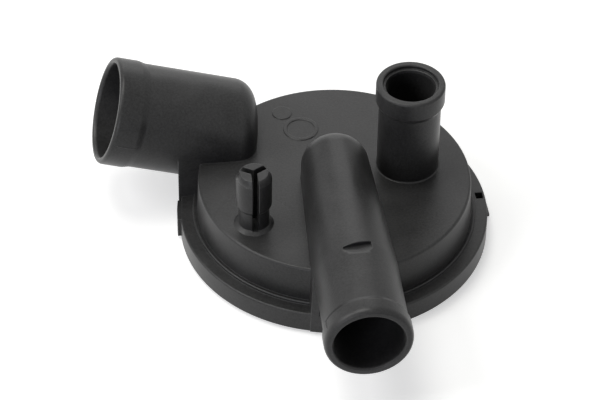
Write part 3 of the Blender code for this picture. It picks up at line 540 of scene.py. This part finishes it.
# The notch in the outlet's crown: a wall across the tube, a little askew, where the tapered body
# ends, and a flat floor that climbs from it and fades out towards the mouth.
NOTCH_START = FLANGE_RADIUS + 0.00025
NOTCH_END = NOTCH_START + 0.0050
NOTCH_HALF = 0.00405
NOTCH_SKEW = 0.19
NOTCH_DEPTH = 0.0014
NOTCH_CLIMB = 0.33
crown_z = OUTLET_AXIS_Z + OUTLET_RADIUS
notch_across = np.array((-NOTCH_HALF, NOTCH_HALF, NOTCH_HALF, -NOTCH_HALF))[:, None]
notch_along = np.array((NOTCH_START, NOTCH_START, NOTCH_END, NOTCH_END))[:, None]
notch_along[:2] -= NOTCH_SKEW * notch_across[:2]
notch_plan = notch_along * outlet_way[:2] + notch_across * outlet_side[:2]
notch_floor = crown_z - NOTCH_DEPTH + NOTCH_CLIMB * (notch_along[:, 0] - NOTCH_START)
outlet_notch = upright("outlet_notch", notch_plan, notch_floor, crown_z + MARGIN)

# The nozzle: an upright tube with a small rounded foot, a bead and a counterbored mouth.
NOZZLE_RADIUS = 0.0091
NOZZLE_HEIGHT = 0.0307
NOZZLE_BORE = 0.0070
NOZZLE_RECESS = 0.0080
NOZZLE_FOOT_ROUND = 0.0005
NOZZLE_OUT = 0.0226
ROOT = 0.0011
nozzle_azimuth = np.radians(18.0)
nozzle_foot = (NOZZLE_OUT * np.cos(nozzle_azimuth), NOZZLE_OUT * np.sin(nozzle_azimuth), TOP_Z)
up = (0.0, 0.0, 1.0)
nozzle_shell = solid(
    "nozzle_shell",
    laid(
        turned(
            profile_of(
                (0.0, -ROOT),
                (NOZZLE_RADIUS + NOZZLE_FOOT_ROUND, -ROOT),
                arc(
                    (NOZZLE_RADIUS + NOZZLE_FOOT_ROUND, NOZZLE_FOOT_ROUND),
                    (NOZZLE_FOOT_ROUND, NOZZLE_FOOT_ROUND),
                    270,
                    180,
                    4,
                ),
                hose_end(
                    NOZZLE_RADIUS,
                    NOZZLE_HEIGHT,
                    rise=0.0010,
                    bead_length=0.0078,
                    lip_across=0.0007,
                    lip_along=0.0007,
                ),
                (0.0, NOZZLE_HEIGHT),
            ),
            112,
        ),
        nozzle_foot,
        up,
    ),
)
nozzle_hollow = solid(
    "nozzle_hollow",
    laid(
        turned(
            profile_of(
                (0.0, CEILING_Z - TOP_Z - MARGIN),
                (NOZZLE_BORE, CEILING_Z - TOP_Z - MARGIN),
                (NOZZLE_BORE, NOZZLE_HEIGHT - 0.0020),
                (NOZZLE_BORE + 0.0004, NOZZLE_HEIGHT - 0.0012),
                (NOZZLE_RECESS, NOZZLE_HEIGHT - 0.0012),
                (NOZZLE_RECESS, NOZZLE_HEIGHT - 0.0003),
                (NOZZLE_RECESS + 0.0003, NOZZLE_HEIGHT),
                (NOZZLE_RECESS + 0.0003, NOZZLE_HEIGHT + MARGIN),
                (0.0, NOZZLE_HEIGHT + MARGIN),
            ),
            96,
            0.0047,
        ),
        nozzle_foot,
        up,
    ),
)

# The snap stud: a barrel head with a chamfered crown, on a neck that spreads at its foot, split
# by three slots into springy legs.
STUD_HEIGHT = 0.0194
STUD_OUT = 0.0308
stud_azimuth = np.radians(220.8)
stud_foot = np.array((STUD_OUT * np.cos(stud_azimuth), STUD_OUT * np.sin(stud_azimuth), TOP_Z))
stud_shell = solid(
    "stud_shell",
    laid(
        turned(
            profile_of(
                (0.0, -ROOT),
                (0.0061, -ROOT),
                (0.0061, -0.0002),
                (0.0050, 0.0006),
                (0.0045, 0.0008),
                (0.0044, 0.0068),
                arc((0.0047, 0.0082), (0.0005, 0.0008), -60, 0, 5),
                (0.0052, STUD_HEIGHT - 0.0019),
                (0.0041, STUD_HEIGHT - 0.0001),
                (0.0040, STUD_HEIGHT),
                (0.0, STUD_HEIGHT),
            ),
            72,
        ),
        stud_foot,
        up,
    ),
)
SLOT_HALF = 0.0009
SLOT_REACH = 0.0062
SLOT_FOOT_Z = TOP_Z + 0.0007
slot_angle = -np.pi / 2 + OUTLET_TURN + np.arange(3) * 2 * np.pi / 3
slot_way = np.column_stack((np.cos(slot_angle), np.sin(slot_angle)))
slot_across = np.column_stack((-np.sin(slot_angle), np.cos(slot_angle)))
crotch_angle = slot_angle + np.pi / 3
crotch = np.column_stack((np.cos(crotch_angle), np.sin(crotch_angle)))
crotch = crotch * SLOT_HALF / np.sin(np.pi / 3)
slot_end, slot_side = slot_way * SLOT_REACH, slot_across * SLOT_HALF
star = np.stack((slot_end - slot_side, slot_end + slot_side, crotch), axis=1).reshape(-1, 2)
slot_top_z = TOP_Z + STUD_HEIGHT + MARGIN
stud_slots = upright("stud_slots", star + stud_foot[:2], SLOT_FOOT_Z, slot_top_z)

# Catches inside the skirt that hold the cover, the openings their cores leave, and the lugs.
HOOK_HALF = 0.0025
WINDOW_HALF = 0.00135
open_hooks = np.radians((8.5, 98.5))
covered_hooks = np.radians((179.0, 278.5))
section = profile_of((0.0443, 0.0010), (0.0434, 0.0010), (0.0425, 0.0016), (0.0425, 0.0020))
section = profile_of(section, (0.0443, 0.0020))
wedge = [[(r, side, z) for r, z in section] for side in (-HOOK_HALF, HOOK_HALF)]
catches = [
    turned_round(lofted(f"catch_{index}", wedge), azimuth)
    for index, azimuth in enumerate((*open_hooks, *covered_hooks))
]


def hook_blocks(name, low, high, half, azimuths):
    """Blocks between the corners (r, z) low and high, as wide as 2 half, at each azimuth."""
    return [
        block(f"{name}_{index}", (low[0], -half, low[1]), (high[0], half, high[1]), azimuth)
        for index, azimuth in enumerate(azimuths)
    ]


lugs = hook_blocks("lug", (0.0448, 0.0011), (FLANGE_RADIUS + 0.0012, 0.0021), HOOK_HALF, open_hooks)
windows = hook_blocks("top_window", (0.0427, 0.0052), (0.0449, 0.0090), WINDOW_HALF, open_hooks)
windows += hook_blocks(
    "side_window", (0.0426, 0.0026), (0.0477, 0.0056), WINDOW_HALF, covered_hooks
)


# Mould marks: on the top plate a low ring and a low round pad left by inserts and one fine groove
# round the stud, and on both hose ends the parting lines of the mould's halves.
def mark(name, x, y, inner, outer, height):
    """A low ring, or a pad where inner is 0: section (r, z) with edges drawn in by 0.08 mm."""
    inside = [(inner + 0.00008, height), (inner, height / 2), (inner, -0.0003)]
    if inner == 0.0:
        inside = [(0.0, height)]
    outside = [(outer, -0.0003), (outer, height / 2), (outer - 0.00008, height)]
    if inner == 0.0:
        outside = [(0.0, -0.0003)] + outside
    grid = turned(outside + inside, 96, 0.02)
    return solid(name, laid(grid, (x, y, TOP_Z), up), looped=inner > 0.0)


def parting_line(name, origin, way, outward, profile, stretch):
    """A three-cornered ridge on a turned tube over a stretch of its length. With u from 0 to 1
    its crest stands 0.20 mm sin(pi u)^0.3 over the profile's radius, its foot 0.4 mm below it."""
    u = np.linspace(0.0, 1.0, 13)[:, None]
    s = stretch[0] + (stretch[1] - stretch[0]) * u
    radius = np.interp(s[:, 0], profile[:, 1], profile[:, 0])[:, None]
    way, outward = np.asarray(way), np.asarray(outward)
    across = np.cross(way, outward) * 0.00045
    middle = np.asarray(origin) + way * s
    foot = middle + outward * (radius - 0.0004)
    crest = middle + outward * (radius + 0.00020 * np.sin(np.pi * u) ** 0.3)
    grid = np.stack((foot - across, crest, foot + across), axis=1)
    ends = grid[[0, -1]].mean(axis=1, keepdims=True).repeat(3, axis=1)
    return solid(name, np.concatenate((ends[:1], grid, ends[1:])))


marks = [
    mark("insert_ring", -0.0102, 0.0213, 0.0041, 0.0052, 0.00022),
    mark("insert_pad", -0.0159, 0.0284, 0.0, 0.00295, 0.00022),
]
witness_section = [(0.01145, 0.0), (0.0116, -0.00006), (0.01175, 0.0), (0.0116, 0.00006)]
stud_witness = solid(
    "stud_witness",
    laid(turned(witness_section, 96), (-0.0233, -0.0201, TOP_Z), up),
    looped=True,
)
inlet_bead = (inlet_profile, (0.0268, 0.0338))
outlet_bead = (outlet_profile, (0.0682, 0.0720))
parting_lines = [
    parting_line("inlet_line_front", inlet_entry, inlet_axis, -inlet_side, *inlet_bead),
    parting_line("inlet_line_back", inlet_entry, inlet_axis, inlet_side, *inlet_bead),
]
for index, azimuth in enumerate(np.radians((-6.5, -67.0, 173.5))):
    outward = outlet_side * np.sin(azimuth) + np.array((0.0, 0.0, np.cos(azimuth)))
    parting_lines.append(
        parting_line(f"outlet_line_{index}", outlet_origin, outlet_way, outward, *outlet_bead)
    )

housing = combined(
    "housing_skin",
    chamber_shell,
    [
        ("UNION", [inlet_shell, inlet_saddle, skirt_block, outlet_web, nozzle_shell]),
        ("DIFFERENCE", [web_pocket, chamber_hollow, stud_witness]),
        ("UNION", [outlet_shell, seat_tube, stud_shell, *spring_ribs, *catches, *lugs, *marks]),
        ("UNION", parting_lines),
        ("DIFFERENCE", [nozzle_hollow, seat_hollow, outlet_notch, stud_slots, *windows]),
        ("DIFFERENCE", [inlet_hollow, outlet_hollow]),
    ],
)
smoothed(housing)

# Upper housing, the finish.
# Charcoal nylon with short glass fibre, straight from a finely eroded mould: matt, faintly mottled
# where the fibres lie near the skin, a little smoother on outer edges, with a painted highlight
# along them.


def new_group(name, inputs, outputs):
    """A shader node group with the named float, colour and vector sockets."""
    group = bpy.data.node_groups.new(name, "ShaderNodeTree")
    for direction, sockets in (("INPUT", inputs), ("OUTPUT", outputs)):
        for label, kind, value in sockets:
            socket = group.interface.new_socket(
                label, in_out=direction, socket_type=f"NodeSocket{kind}"
            )
            if value is not None:
                socket.default_value = value
    entry = group.nodes.new("NodeGroupInput")
    leave = group.nodes.new("NodeGroupOutput")
    return group, entry, leave


def node(tree, kind, **settings):
    """A node whose sockets and properties are set by name: a linked socket is given as a socket."""
    made = tree.nodes.new(f"ShaderNode{kind}")
    for label, value in settings.items():
        if hasattr(made, label):
            setattr(made, label, value)
    for label, value in settings.items():
        if hasattr(made, label):
            continue
        key = int(label[1:]) if label[0] == "i" and label[1:].isdigit() else label.replace("_", " ")
        if isinstance(value, bpy.types.NodeSocket):
            tree.links.new(value, made.inputs[key])
        else:
            made.inputs[key].default_value = value
    return made


def maths(tree, operation, first, second=0.0, clamp=False):
    """One arithmetic step on two values or sockets."""
    made = node(tree, "Math", operation=operation, use_clamp=clamp, i0=first, i1=second)
    return made.outputs[0]


# Rounded edges: the normal m averaged over a small radius, and a mask of the edges that stand out,
# min(5 (1 - m.n), 1) min(40 (p - 0.505), 1) with the face's normal n and the pointiness p; the skin
# paints a highlight along this mask.
rounding, entry, leave = new_group(
    "rounded_edges",
    [("Radius", "Float", 0.0003)],
    [("Normal", "Vector", None), ("Edge", "Float", None)],
)
bevel = node(rounding, "Bevel", samples=6, Radius=entry.outputs["Radius"])
face = node(rounding, "NewGeometry")
facing = node(
    rounding,
    "VectorMath",
    operation="DOT_PRODUCT",
    i0=bevel.outputs[0],
    i1=face.outputs["True Normal"],
)
away = maths(rounding, "SUBTRACT", 1.0, facing.outputs["Value"])
away = maths(rounding, "MULTIPLY", away, 5.0, clamp=True)
standing_out = maths(rounding, "SUBTRACT", face.outputs["Pointiness"], 0.505)
standing_out = maths(rounding, "MULTIPLY", standing_out, 40.0, clamp=True)
edge = maths(rounding, "MULTIPLY", away, standing_out)
rounding.links.new(bevel.outputs[0], leave.inputs["Normal"])
rounding.links.new(edge, leave.inputs["Edge"])

# Moulded skin: cloudy flow of the melt, mottled fibres, the fine erosion grain of the mould and a
# painted highlight along outer edges.
skin, entry, leave = new_group(
    "moulded_skin",
    [
        ("Vector", "Vector", None),
        ("Colour", "Color", (0.05, 0.05, 0.05, 1.0)),
        ("Light Colour", "Color", (0.08, 0.08, 0.08, 1.0)),
        ("Edge", "Float", 0.0),
        ("Mottle", "Float", 1.0),
        ("Roughness", "Float", 0.5),
    ],
    [("Colour", "Color", None), ("Roughness", "Float", None), ("Height", "Float", None)],
)
place = entry.outputs["Vector"]
flow = node(skin, "TexNoise", Vector=place, Scale=45.0, Detail=3.0, Distortion=0.6)
fibres = node(skin, "TexNoise", Vector=place, Scale=1500.0, Detail=4.0, Roughness=0.65)
grain = node(skin, "TexNoise", Vector=place, Scale=3600.0, Detail=2.0, Roughness=0.6)
pits = node(skin, "TexVoronoi", Vector=place, Scale=2100.0, Randomness=1.0)
cloud = maths(skin, "SUBTRACT", flow.outputs["Fac"], 0.5)
speck = maths(skin, "SUBTRACT", fibres.outputs["Fac"], 0.5)
tone = maths(skin, "ADD", maths(skin, "MULTIPLY", cloud, 0.9), maths(skin, "MULTIPLY", speck, 0.9))
tone = maths(skin, "MULTIPLY", tone, entry.outputs["Mottle"])
# The edge mask lightens the tone towards the light colour: a painted highlight along outer edges.
tone = maths(skin, "ADD", tone, maths(skin, "MULTIPLY", entry.outputs["Edge"], 1.2))
tone = maths(skin, "ADD", tone, 0.25, clamp=True)
blend = node(
    skin,
    "Mix",
    data_type="RGBA",
    i0=tone,
    i6=entry.outputs["Colour"],
    i7=entry.outputs["Light Colour"],
)
skin.links.new(blend.outputs[2], leave.inputs["Colour"])
edge_smoothing = maths(skin, "MULTIPLY", entry.outputs["Edge"], -0.20)
rough = maths(skin, "ADD", entry.outputs["Roughness"], maths(skin, "MULTIPLY", cloud, 0.18))
rough = maths(skin, "ADD", rough, maths(skin, "MULTIPLY", speck, 0.12))
skin.links.new(maths(skin, "ADD", rough, edge_smoothing, clamp=True), leave.inputs["Roughness"])
grain_height = maths(skin, "MULTIPLY", grain.outputs["Fac"], 0.6)
pit_height = maths(skin, "MULTIPLY", pits.outputs["Distance"], 0.4)
skin.links.new(maths(skin, "ADD", grain_height, pit_height), leave.inputs["Height"])


def moulded(name, colour, light, roughness, mottle, rounding_radius, relief, specular):
    """A moulded plastic or rubber finish built from the shared groups. The tone runs from the
    colour to the light colour as 0.25 + mottle (0.9 cloud + 0.9 speck) + 1.2 edge, where the edge
    term is a painted highlight along outer edges."""
    made = bpy.data.materials.new(name)
    made.use_nodes = True
    tree = made.node_tree
    shader = tree.nodes["Principled BSDF"]
    shader.inputs["Specular IOR Level"].default_value = specular
    place = node(tree, "TexCoord").outputs["Object"]
    edges = tree.nodes.new("ShaderNodeGroup")
    edges.node_tree = rounding
    edges.inputs["Radius"].default_value = rounding_radius
    surface = tree.nodes.new("ShaderNodeGroup")
    surface.node_tree = skin
    surface.inputs["Colour"].default_value = (*colour, 1.0)
    surface.inputs["Light Colour"].default_value = (*light, 1.0)
    surface.inputs["Mottle"].default_value = mottle
    surface.inputs["Roughness"].default_value = roughness
    tree.links.new(place, surface.inputs["Vector"])
    tree.links.new(edges.outputs["Edge"], surface.inputs["Edge"])
    bump = node(
        tree,
        "Bump",
        Strength=0.5,
        Distance=relief,
        Height=surface.outputs["Height"],
        Normal=edges.outputs["Normal"],
    )
    tree.links.new(surface.outputs["Colour"], shader.inputs["Base Color"])
    tree.links.new(surface.outputs["Roughness"], shader.inputs["Roughness"])
    tree.links.new(bump.outputs[0], shader.inputs["Normal"])
    return made


def finished(piece, material):
    """The piece in this one material."""
    piece.data.materials.clear()
    piece.data.materials.append(material)


charcoal = moulded(
    "charcoal_glass_filled_nylon",
    colour=(0.012, 0.012, 0.012),
    light=(0.074, 0.073, 0.074),
    roughness=0.37,
    mottle=0.8,
    rounding_radius=0.0004,
    relief=0.00006,
    specular=0.27,
)
finished(housing, charcoal)
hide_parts("upper_housing")
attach(housing, "housing")

# Return spring.
# Stainless wire coiled with closed ends, standing between the ribs round the seat boss and the ring
# on the diaphragm.
SPRING_RADIUS = 0.0120
WIRE_RADIUS = 0.00045
SPRING_LOW_Z = 0.00705
SPRING_HIGH_Z = 0.01325
SPRING_TURNS = 3.25
END_TURNS = 0.6
END_PITCH = 0.00094
WIRE_SIDES = 16
turns = np.linspace(0.0, SPRING_TURNS, 313)
middle = np.clip((turns - END_TURNS) / (SPRING_TURNS - 2 * END_TURNS), 0.0, 1.0)
rise = SPRING_HIGH_Z - SPRING_LOW_Z - 2 * END_TURNS * END_PITCH
level = SPRING_LOW_Z + END_PITCH * np.minimum(turns, END_TURNS)
level = level + rise * (middle - 0.08 * np.sin(2 * np.pi * middle))
level = level + END_PITCH * np.maximum(turns - (SPRING_TURNS - END_TURNS), 0.0)
wire_angle = np.linspace(0.0, 2 * np.pi, WIRE_SIDES, endpoint=False)
# The wire's section (R + a cos w, z + a sin w) is carried round the coil's axis with the turn.
reach = SPRING_RADIUS + WIRE_RADIUS * np.cos(wire_angle)
height = level[:, None] + WIRE_RADIUS * np.sin(wire_angle)
coil = 2 * np.pi * turns[:, None]
coil_grid = np.stack((reach * np.cos(coil), reach * np.sin(coil), height), axis=-1)
ends = coil_grid[[0, -1]].mean(axis=1, keepdims=True).repeat(WIRE_SIDES, axis=1)
coil_mesh = solid("spring_coil", np.concatenate((ends[:1], coil_grid, ends[1:])))
spring = placed("spring_coil", coil_mesh)
smoothed(spring, 50.0)


def drawn_steel(name, colour, roughness, scale):
    """Bright steel with fine drawing marks, faint stains and a varying polish."""
    made = bpy.data.materials.new(name)
    made.use_nodes = True
    tree = made.node_tree
    shader = tree.nodes["Principled BSDF"]
    shader.inputs["Metallic"].default_value = 1.0
    place = node(tree, "TexCoord").outputs["Object"]
    drawn = node(tree, "Mapping", Vector=place, Scale=scale)
    fine = node(tree, "TexNoise", Vector=drawn.outputs[0], Scale=2600.0, Detail=3.0)
    stain = node(tree, "TexNoise", Vector=place, Scale=190.0, Detail=4.0)
    tint = node(
        tree,
        "Mix",
        data_type="RGBA",
        i0=stain.outputs["Fac"],
        i6=(*(0.72 * value for value in colour), 1.0),
        i7=(*colour, 1.0),
    )
    polish = maths(tree, "MULTIPLY", fine.outputs["Fac"], 0.25)
    polish = maths(tree, "ADD", polish, roughness - 0.12, clamp=True)
    bump = node(tree, "Bump", Strength=0.4, Distance=0.00002, Height=fine.outputs["Fac"])
    tree.links.new(tint.outputs[2], shader.inputs["Base Color"])
    tree.links.new(polish, shader.inputs["Roughness"])
    tree.links.new(bump.outputs[0], shader.inputs["Normal"])
    return made


finished(spring, drawn_steel("spring_wire", (0.62, 0.61, 0.59), 0.28, (0.3, 0.3, 3.0)))
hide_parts("return_spring")
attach(spring, "housing")
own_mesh(spring)

# Spring ring.
# A pressed stainless ring with a low centring lip. It lies on the rubber under the spring's
# lower end and spreads its load.
ring_profile = profile_of(
    arc((0.01345, 0.0057), (0.0002, 0.0002), -90, 0, 3),
    arc((0.01345, 0.0061), (0.0002, 0.0002), 0, 90, 3),
    arc((0.0113, 0.0064), (0.0002, 0.0001), 270, 180, 2),
    (0.01110, 0.0071),
    arc((0.01080, 0.00700), (0.0002, 0.0002), 0, 90, 3),
    (0.01040, 0.0072),
    (0.01035, 0.0071),
    (0.01035, 0.0055),
)
ring_mesh = solid("pressed_ring", turned(ring_profile, 160), looped=True)
ring = placed("pressed_ring", ring_mesh)
smoothed(ring)
finished(ring, drawn_steel("pressed_strip", (0.58, 0.58, 0.57), 0.33, (1.0, 1.0, 0.4)))
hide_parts("spring_ring")
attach(ring, "valve")

# Diaphragm.
# Moulded rubber: a bead clamped between cover and housing, one standing roll and a flat centre that
# the rivet holds to its plate.
RUBBER_LOW_Z = 0.0045
RUBBER_TOP_Z = 0.0052
ROLL_CENTRE = 0.0343
ROLL_HALF = 0.0031
ROLL_RISE = 0.0026
BEAD_FOOT = 0.0407
RIVET_HOLE = 0.0019
angle = np.linspace(0.0, np.pi, 25)
wide = ROLL_HALF * np.cos(angle)
over = np.column_stack((ROLL_CENTRE + wide, RUBBER_TOP_Z + ROLL_RISE * np.sin(angle)))
tight = (ROLL_HALF - 0.0007 * np.sin(angle)) * np.cos(angle)
under = np.column_stack((ROLL_CENTRE + tight, RUBBER_LOW_Z + ROLL_RISE * np.sin(angle)))
rubber_profile = profile_of(
    arc((0.0430, 0.0040), (0.0003, 0.0003), -90, 0, 3),
    arc((0.0430, 0.0056), (0.0003, 0.0003), 0, 90, 3),
    arc((0.0410, 0.0056), (0.0003, 0.0003), 90, 180, 3),
    (BEAD_FOOT, RUBBER_TOP_Z),
    over,
    (RIVET_HOLE, RUBBER_TOP_Z),
    (RIVET_HOLE, RUBBER_LOW_Z),
    under[::-1],
    (BEAD_FOOT, RUBBER_LOW_Z),
    arc((0.0410, 0.0040), (0.0003, 0.0003), 180, 270, 3),
)
rubber_finish = moulded(
    "fluorosilicone_rubber",
    colour=(0.014, 0.014, 0.015),
    light=(0.030, 0.030, 0.031),
    roughness=0.62,
    mottle=0.8,
    rounding_radius=0.0002,
    relief=0.00004,
    specular=0.4,
)
SECTORS = 16
SECTOR_ROWS = 13
sector_half = np.pi / SECTORS
for index in range(SECTORS):
    # The profile (r, z) is carried through one sector, whose two cut faces close it.
    middle_angle = (2 * index + 1) * sector_half
    sweep = middle_angle + np.linspace(-sector_half, sector_half, SECTOR_ROWS)[:, None]
    radius, height = rubber_profile.T
    parts = (radius * np.cos(sweep), radius * np.sin(sweep), height)
    outlines = np.stack(np.broadcast_arrays(*parts), axis=-1)
    sector_name = f"rolling_rubber_{index:02d}"
    sector = placed(sector_name, lofted(sector_name, outlines))
    smoothed(sector, 40.0)
    finished(sector, rubber_finish)
    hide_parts("diaphragm")
    outward = np.array((np.cos(middle_angle), np.sin(middle_angle), 0.0))
    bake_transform(sector)

# Support plate.
# A stiff acetal disc under the diaphragm, ribbed below, that rests on the cover's stop ring.
# Its shape is the solid's own, in a milky moulded finish.
acetal = moulded(
    "natural_acetal",
    colour=(0.50, 0.48, 0.42),
    light=(0.62, 0.60, 0.54),
    roughness=0.38,
    mottle=0.8,
    rounding_radius=0.0003,
    relief=0.00003,
    specular=0.5,
)
finished(frame["nodes"]["support_plate"], acetal)

# Centre rivet.
# An acetal push rivet: the wide head holds the rubber, the barbed foot snaps into the plate.
finished(frame["nodes"]["centre_rivet"], acetal)

# Lower cover.
# The snap-in floor: black nylon, flat outside, with a stop ring and ribs inside and one vent.
cover_finish = moulded(
    "black_cover_nylon",
    colour=(0.022, 0.022, 0.023),
    light=(0.050, 0.050, 0.051),
    roughness=0.48,
    mottle=1.0,
    rounding_radius=0.0003,
    relief=0.00005,
    specular=0.5,
)
finished(frame["nodes"]["lower_cover"], cover_finish)

# Floor, light and camera.
# A pale floor that shows white to the camera and keeps the shadow, soft lamps from the left and
# overhead, and weaker ones from behind and from the front left.
FLOOR_HALF = 6.0
FLOOR_Z = -0.0002
AMBIENT = 0.05
LAMP_TARGET = (0.0, 0.0, 0.01)
LAMP_SIZE = 0.5


def seen_rays(tree):
    """1 for rays from the camera, through glass or off a glossy surface, and 0 for the others."""
    path = node(tree, "LightPath")
    direct = maths(
        tree, "MAXIMUM", path.outputs["Is Camera Ray"], path.outputs["Is Transmission Ray"]
    )
    return maths(tree, "MAXIMUM", direct, path.outputs["Is Glossy Ray"])


def floor_finish():
    """Pale matt paint, which glows for the seen rays only."""
    made = bpy.data.materials.new("pale_floor")
    made.use_nodes = True
    tree = made.node_tree
    tree.nodes.remove(tree.nodes["Principled BSDF"])
    paint = node(tree, "BsdfDiffuse", Color=(0.82, 0.82, 0.82, 1.0))
    glow = node(tree, "Emission", Color=(1.0, 1.0, 1.0, 1.0), Strength=0.55)
    both = node(tree, "AddShader", i0=paint.outputs[0], i1=glow.outputs[0])
    mixed = node(tree, "MixShader", i0=seen_rays(tree), i1=paint.outputs[0], i2=both.outputs[0])
    tree.links.new(mixed.outputs[0], tree.nodes["Material Output"].inputs[0])
    return made


floor = placed("floor", bpy.data.meshes.new("floor"))
corners = np.column_stack((FLOOR_HALF * square, np.full(4, FLOOR_Z)))
floor.data.from_pydata(corners.tolist(), [], [(0, 1, 2, 3)])
finished(floor, floor_finish())


def soft_lamp(name, place, power, tint=(1.0, 1.0, 1.0)):
    """A square area lamp that looks at the part."""
    lamp = placed(name, bpy.data.lights.new(name, "AREA"))
    lamp.data.color = tint
    lamp.data.size = LAMP_SIZE
    lamp.data.energy = power
    lamp.location = place
    way = Vector(LAMP_TARGET) - Vector(place)
    lamp.rotation_euler = way.to_track_quat("-Z", "Y").to_euler()


soft_lamp("left", (-0.73, -0.13, 0.68), 3.8)
soft_lamp("overhead", (-0.22, 0.12, 0.97), 4.5, (1.0, 1.0, 0.96))
soft_lamp("behind", (0.0, 0.87, 0.51), 1.1)
soft_lamp("front_left", (-0.33, -0.91, 0.27), 2.1, (0.90, 0.91, 1.0))

world = bpy.data.worlds.new("studio")
world.use_nodes = True
bpy.context.scene.world = world
tree = world.node_tree
strength = maths(tree, "MULTIPLY", seen_rays(tree), 1.0 - AMBIENT)
strength = maths(tree, "ADD", strength, AMBIENT)
backdrop = tree.nodes["Background"]
backdrop.inputs["Color"].default_value = (1.0, 1.0, 1.0, 1.0)
tree.links.new(strength, backdrop.inputs["Strength"])

VIEW_ELEVATION = np.radians(42.48)
VIEW_ROLL = np.radians(0.85)
VIEW_DISTANCE = 0.87525
view_target = Vector((-0.01009, -0.01022, TOP_Z))
forward = Vector((0.0, np.cos(VIEW_ELEVATION), -np.sin(VIEW_ELEVATION)))
right = Vector((1.0, 0.0, 0.0))
upward = Vector((0.0, np.sin(VIEW_ELEVATION), np.cos(VIEW_ELEVATION)))
rolled_right = right * np.cos(VIEW_ROLL) + upward * np.sin(VIEW_ROLL)
rolled_up = upward * np.cos(VIEW_ROLL) - right * np.sin(VIEW_ROLL)
camera = placed("camera", bpy.data.cameras.new("camera"))
camera.data.sensor_width = 36.0
camera.data.lens = 180.0
turn = Matrix((rolled_right, rolled_up, -forward)).transposed().to_4x4()
camera.matrix_world = Matrix.Translation(view_target - forward * VIEW_DISTANCE) @ turn
bpy.context.scene.camera = camera
bpy.context.scene.view_settings.view_transform = "Standard"
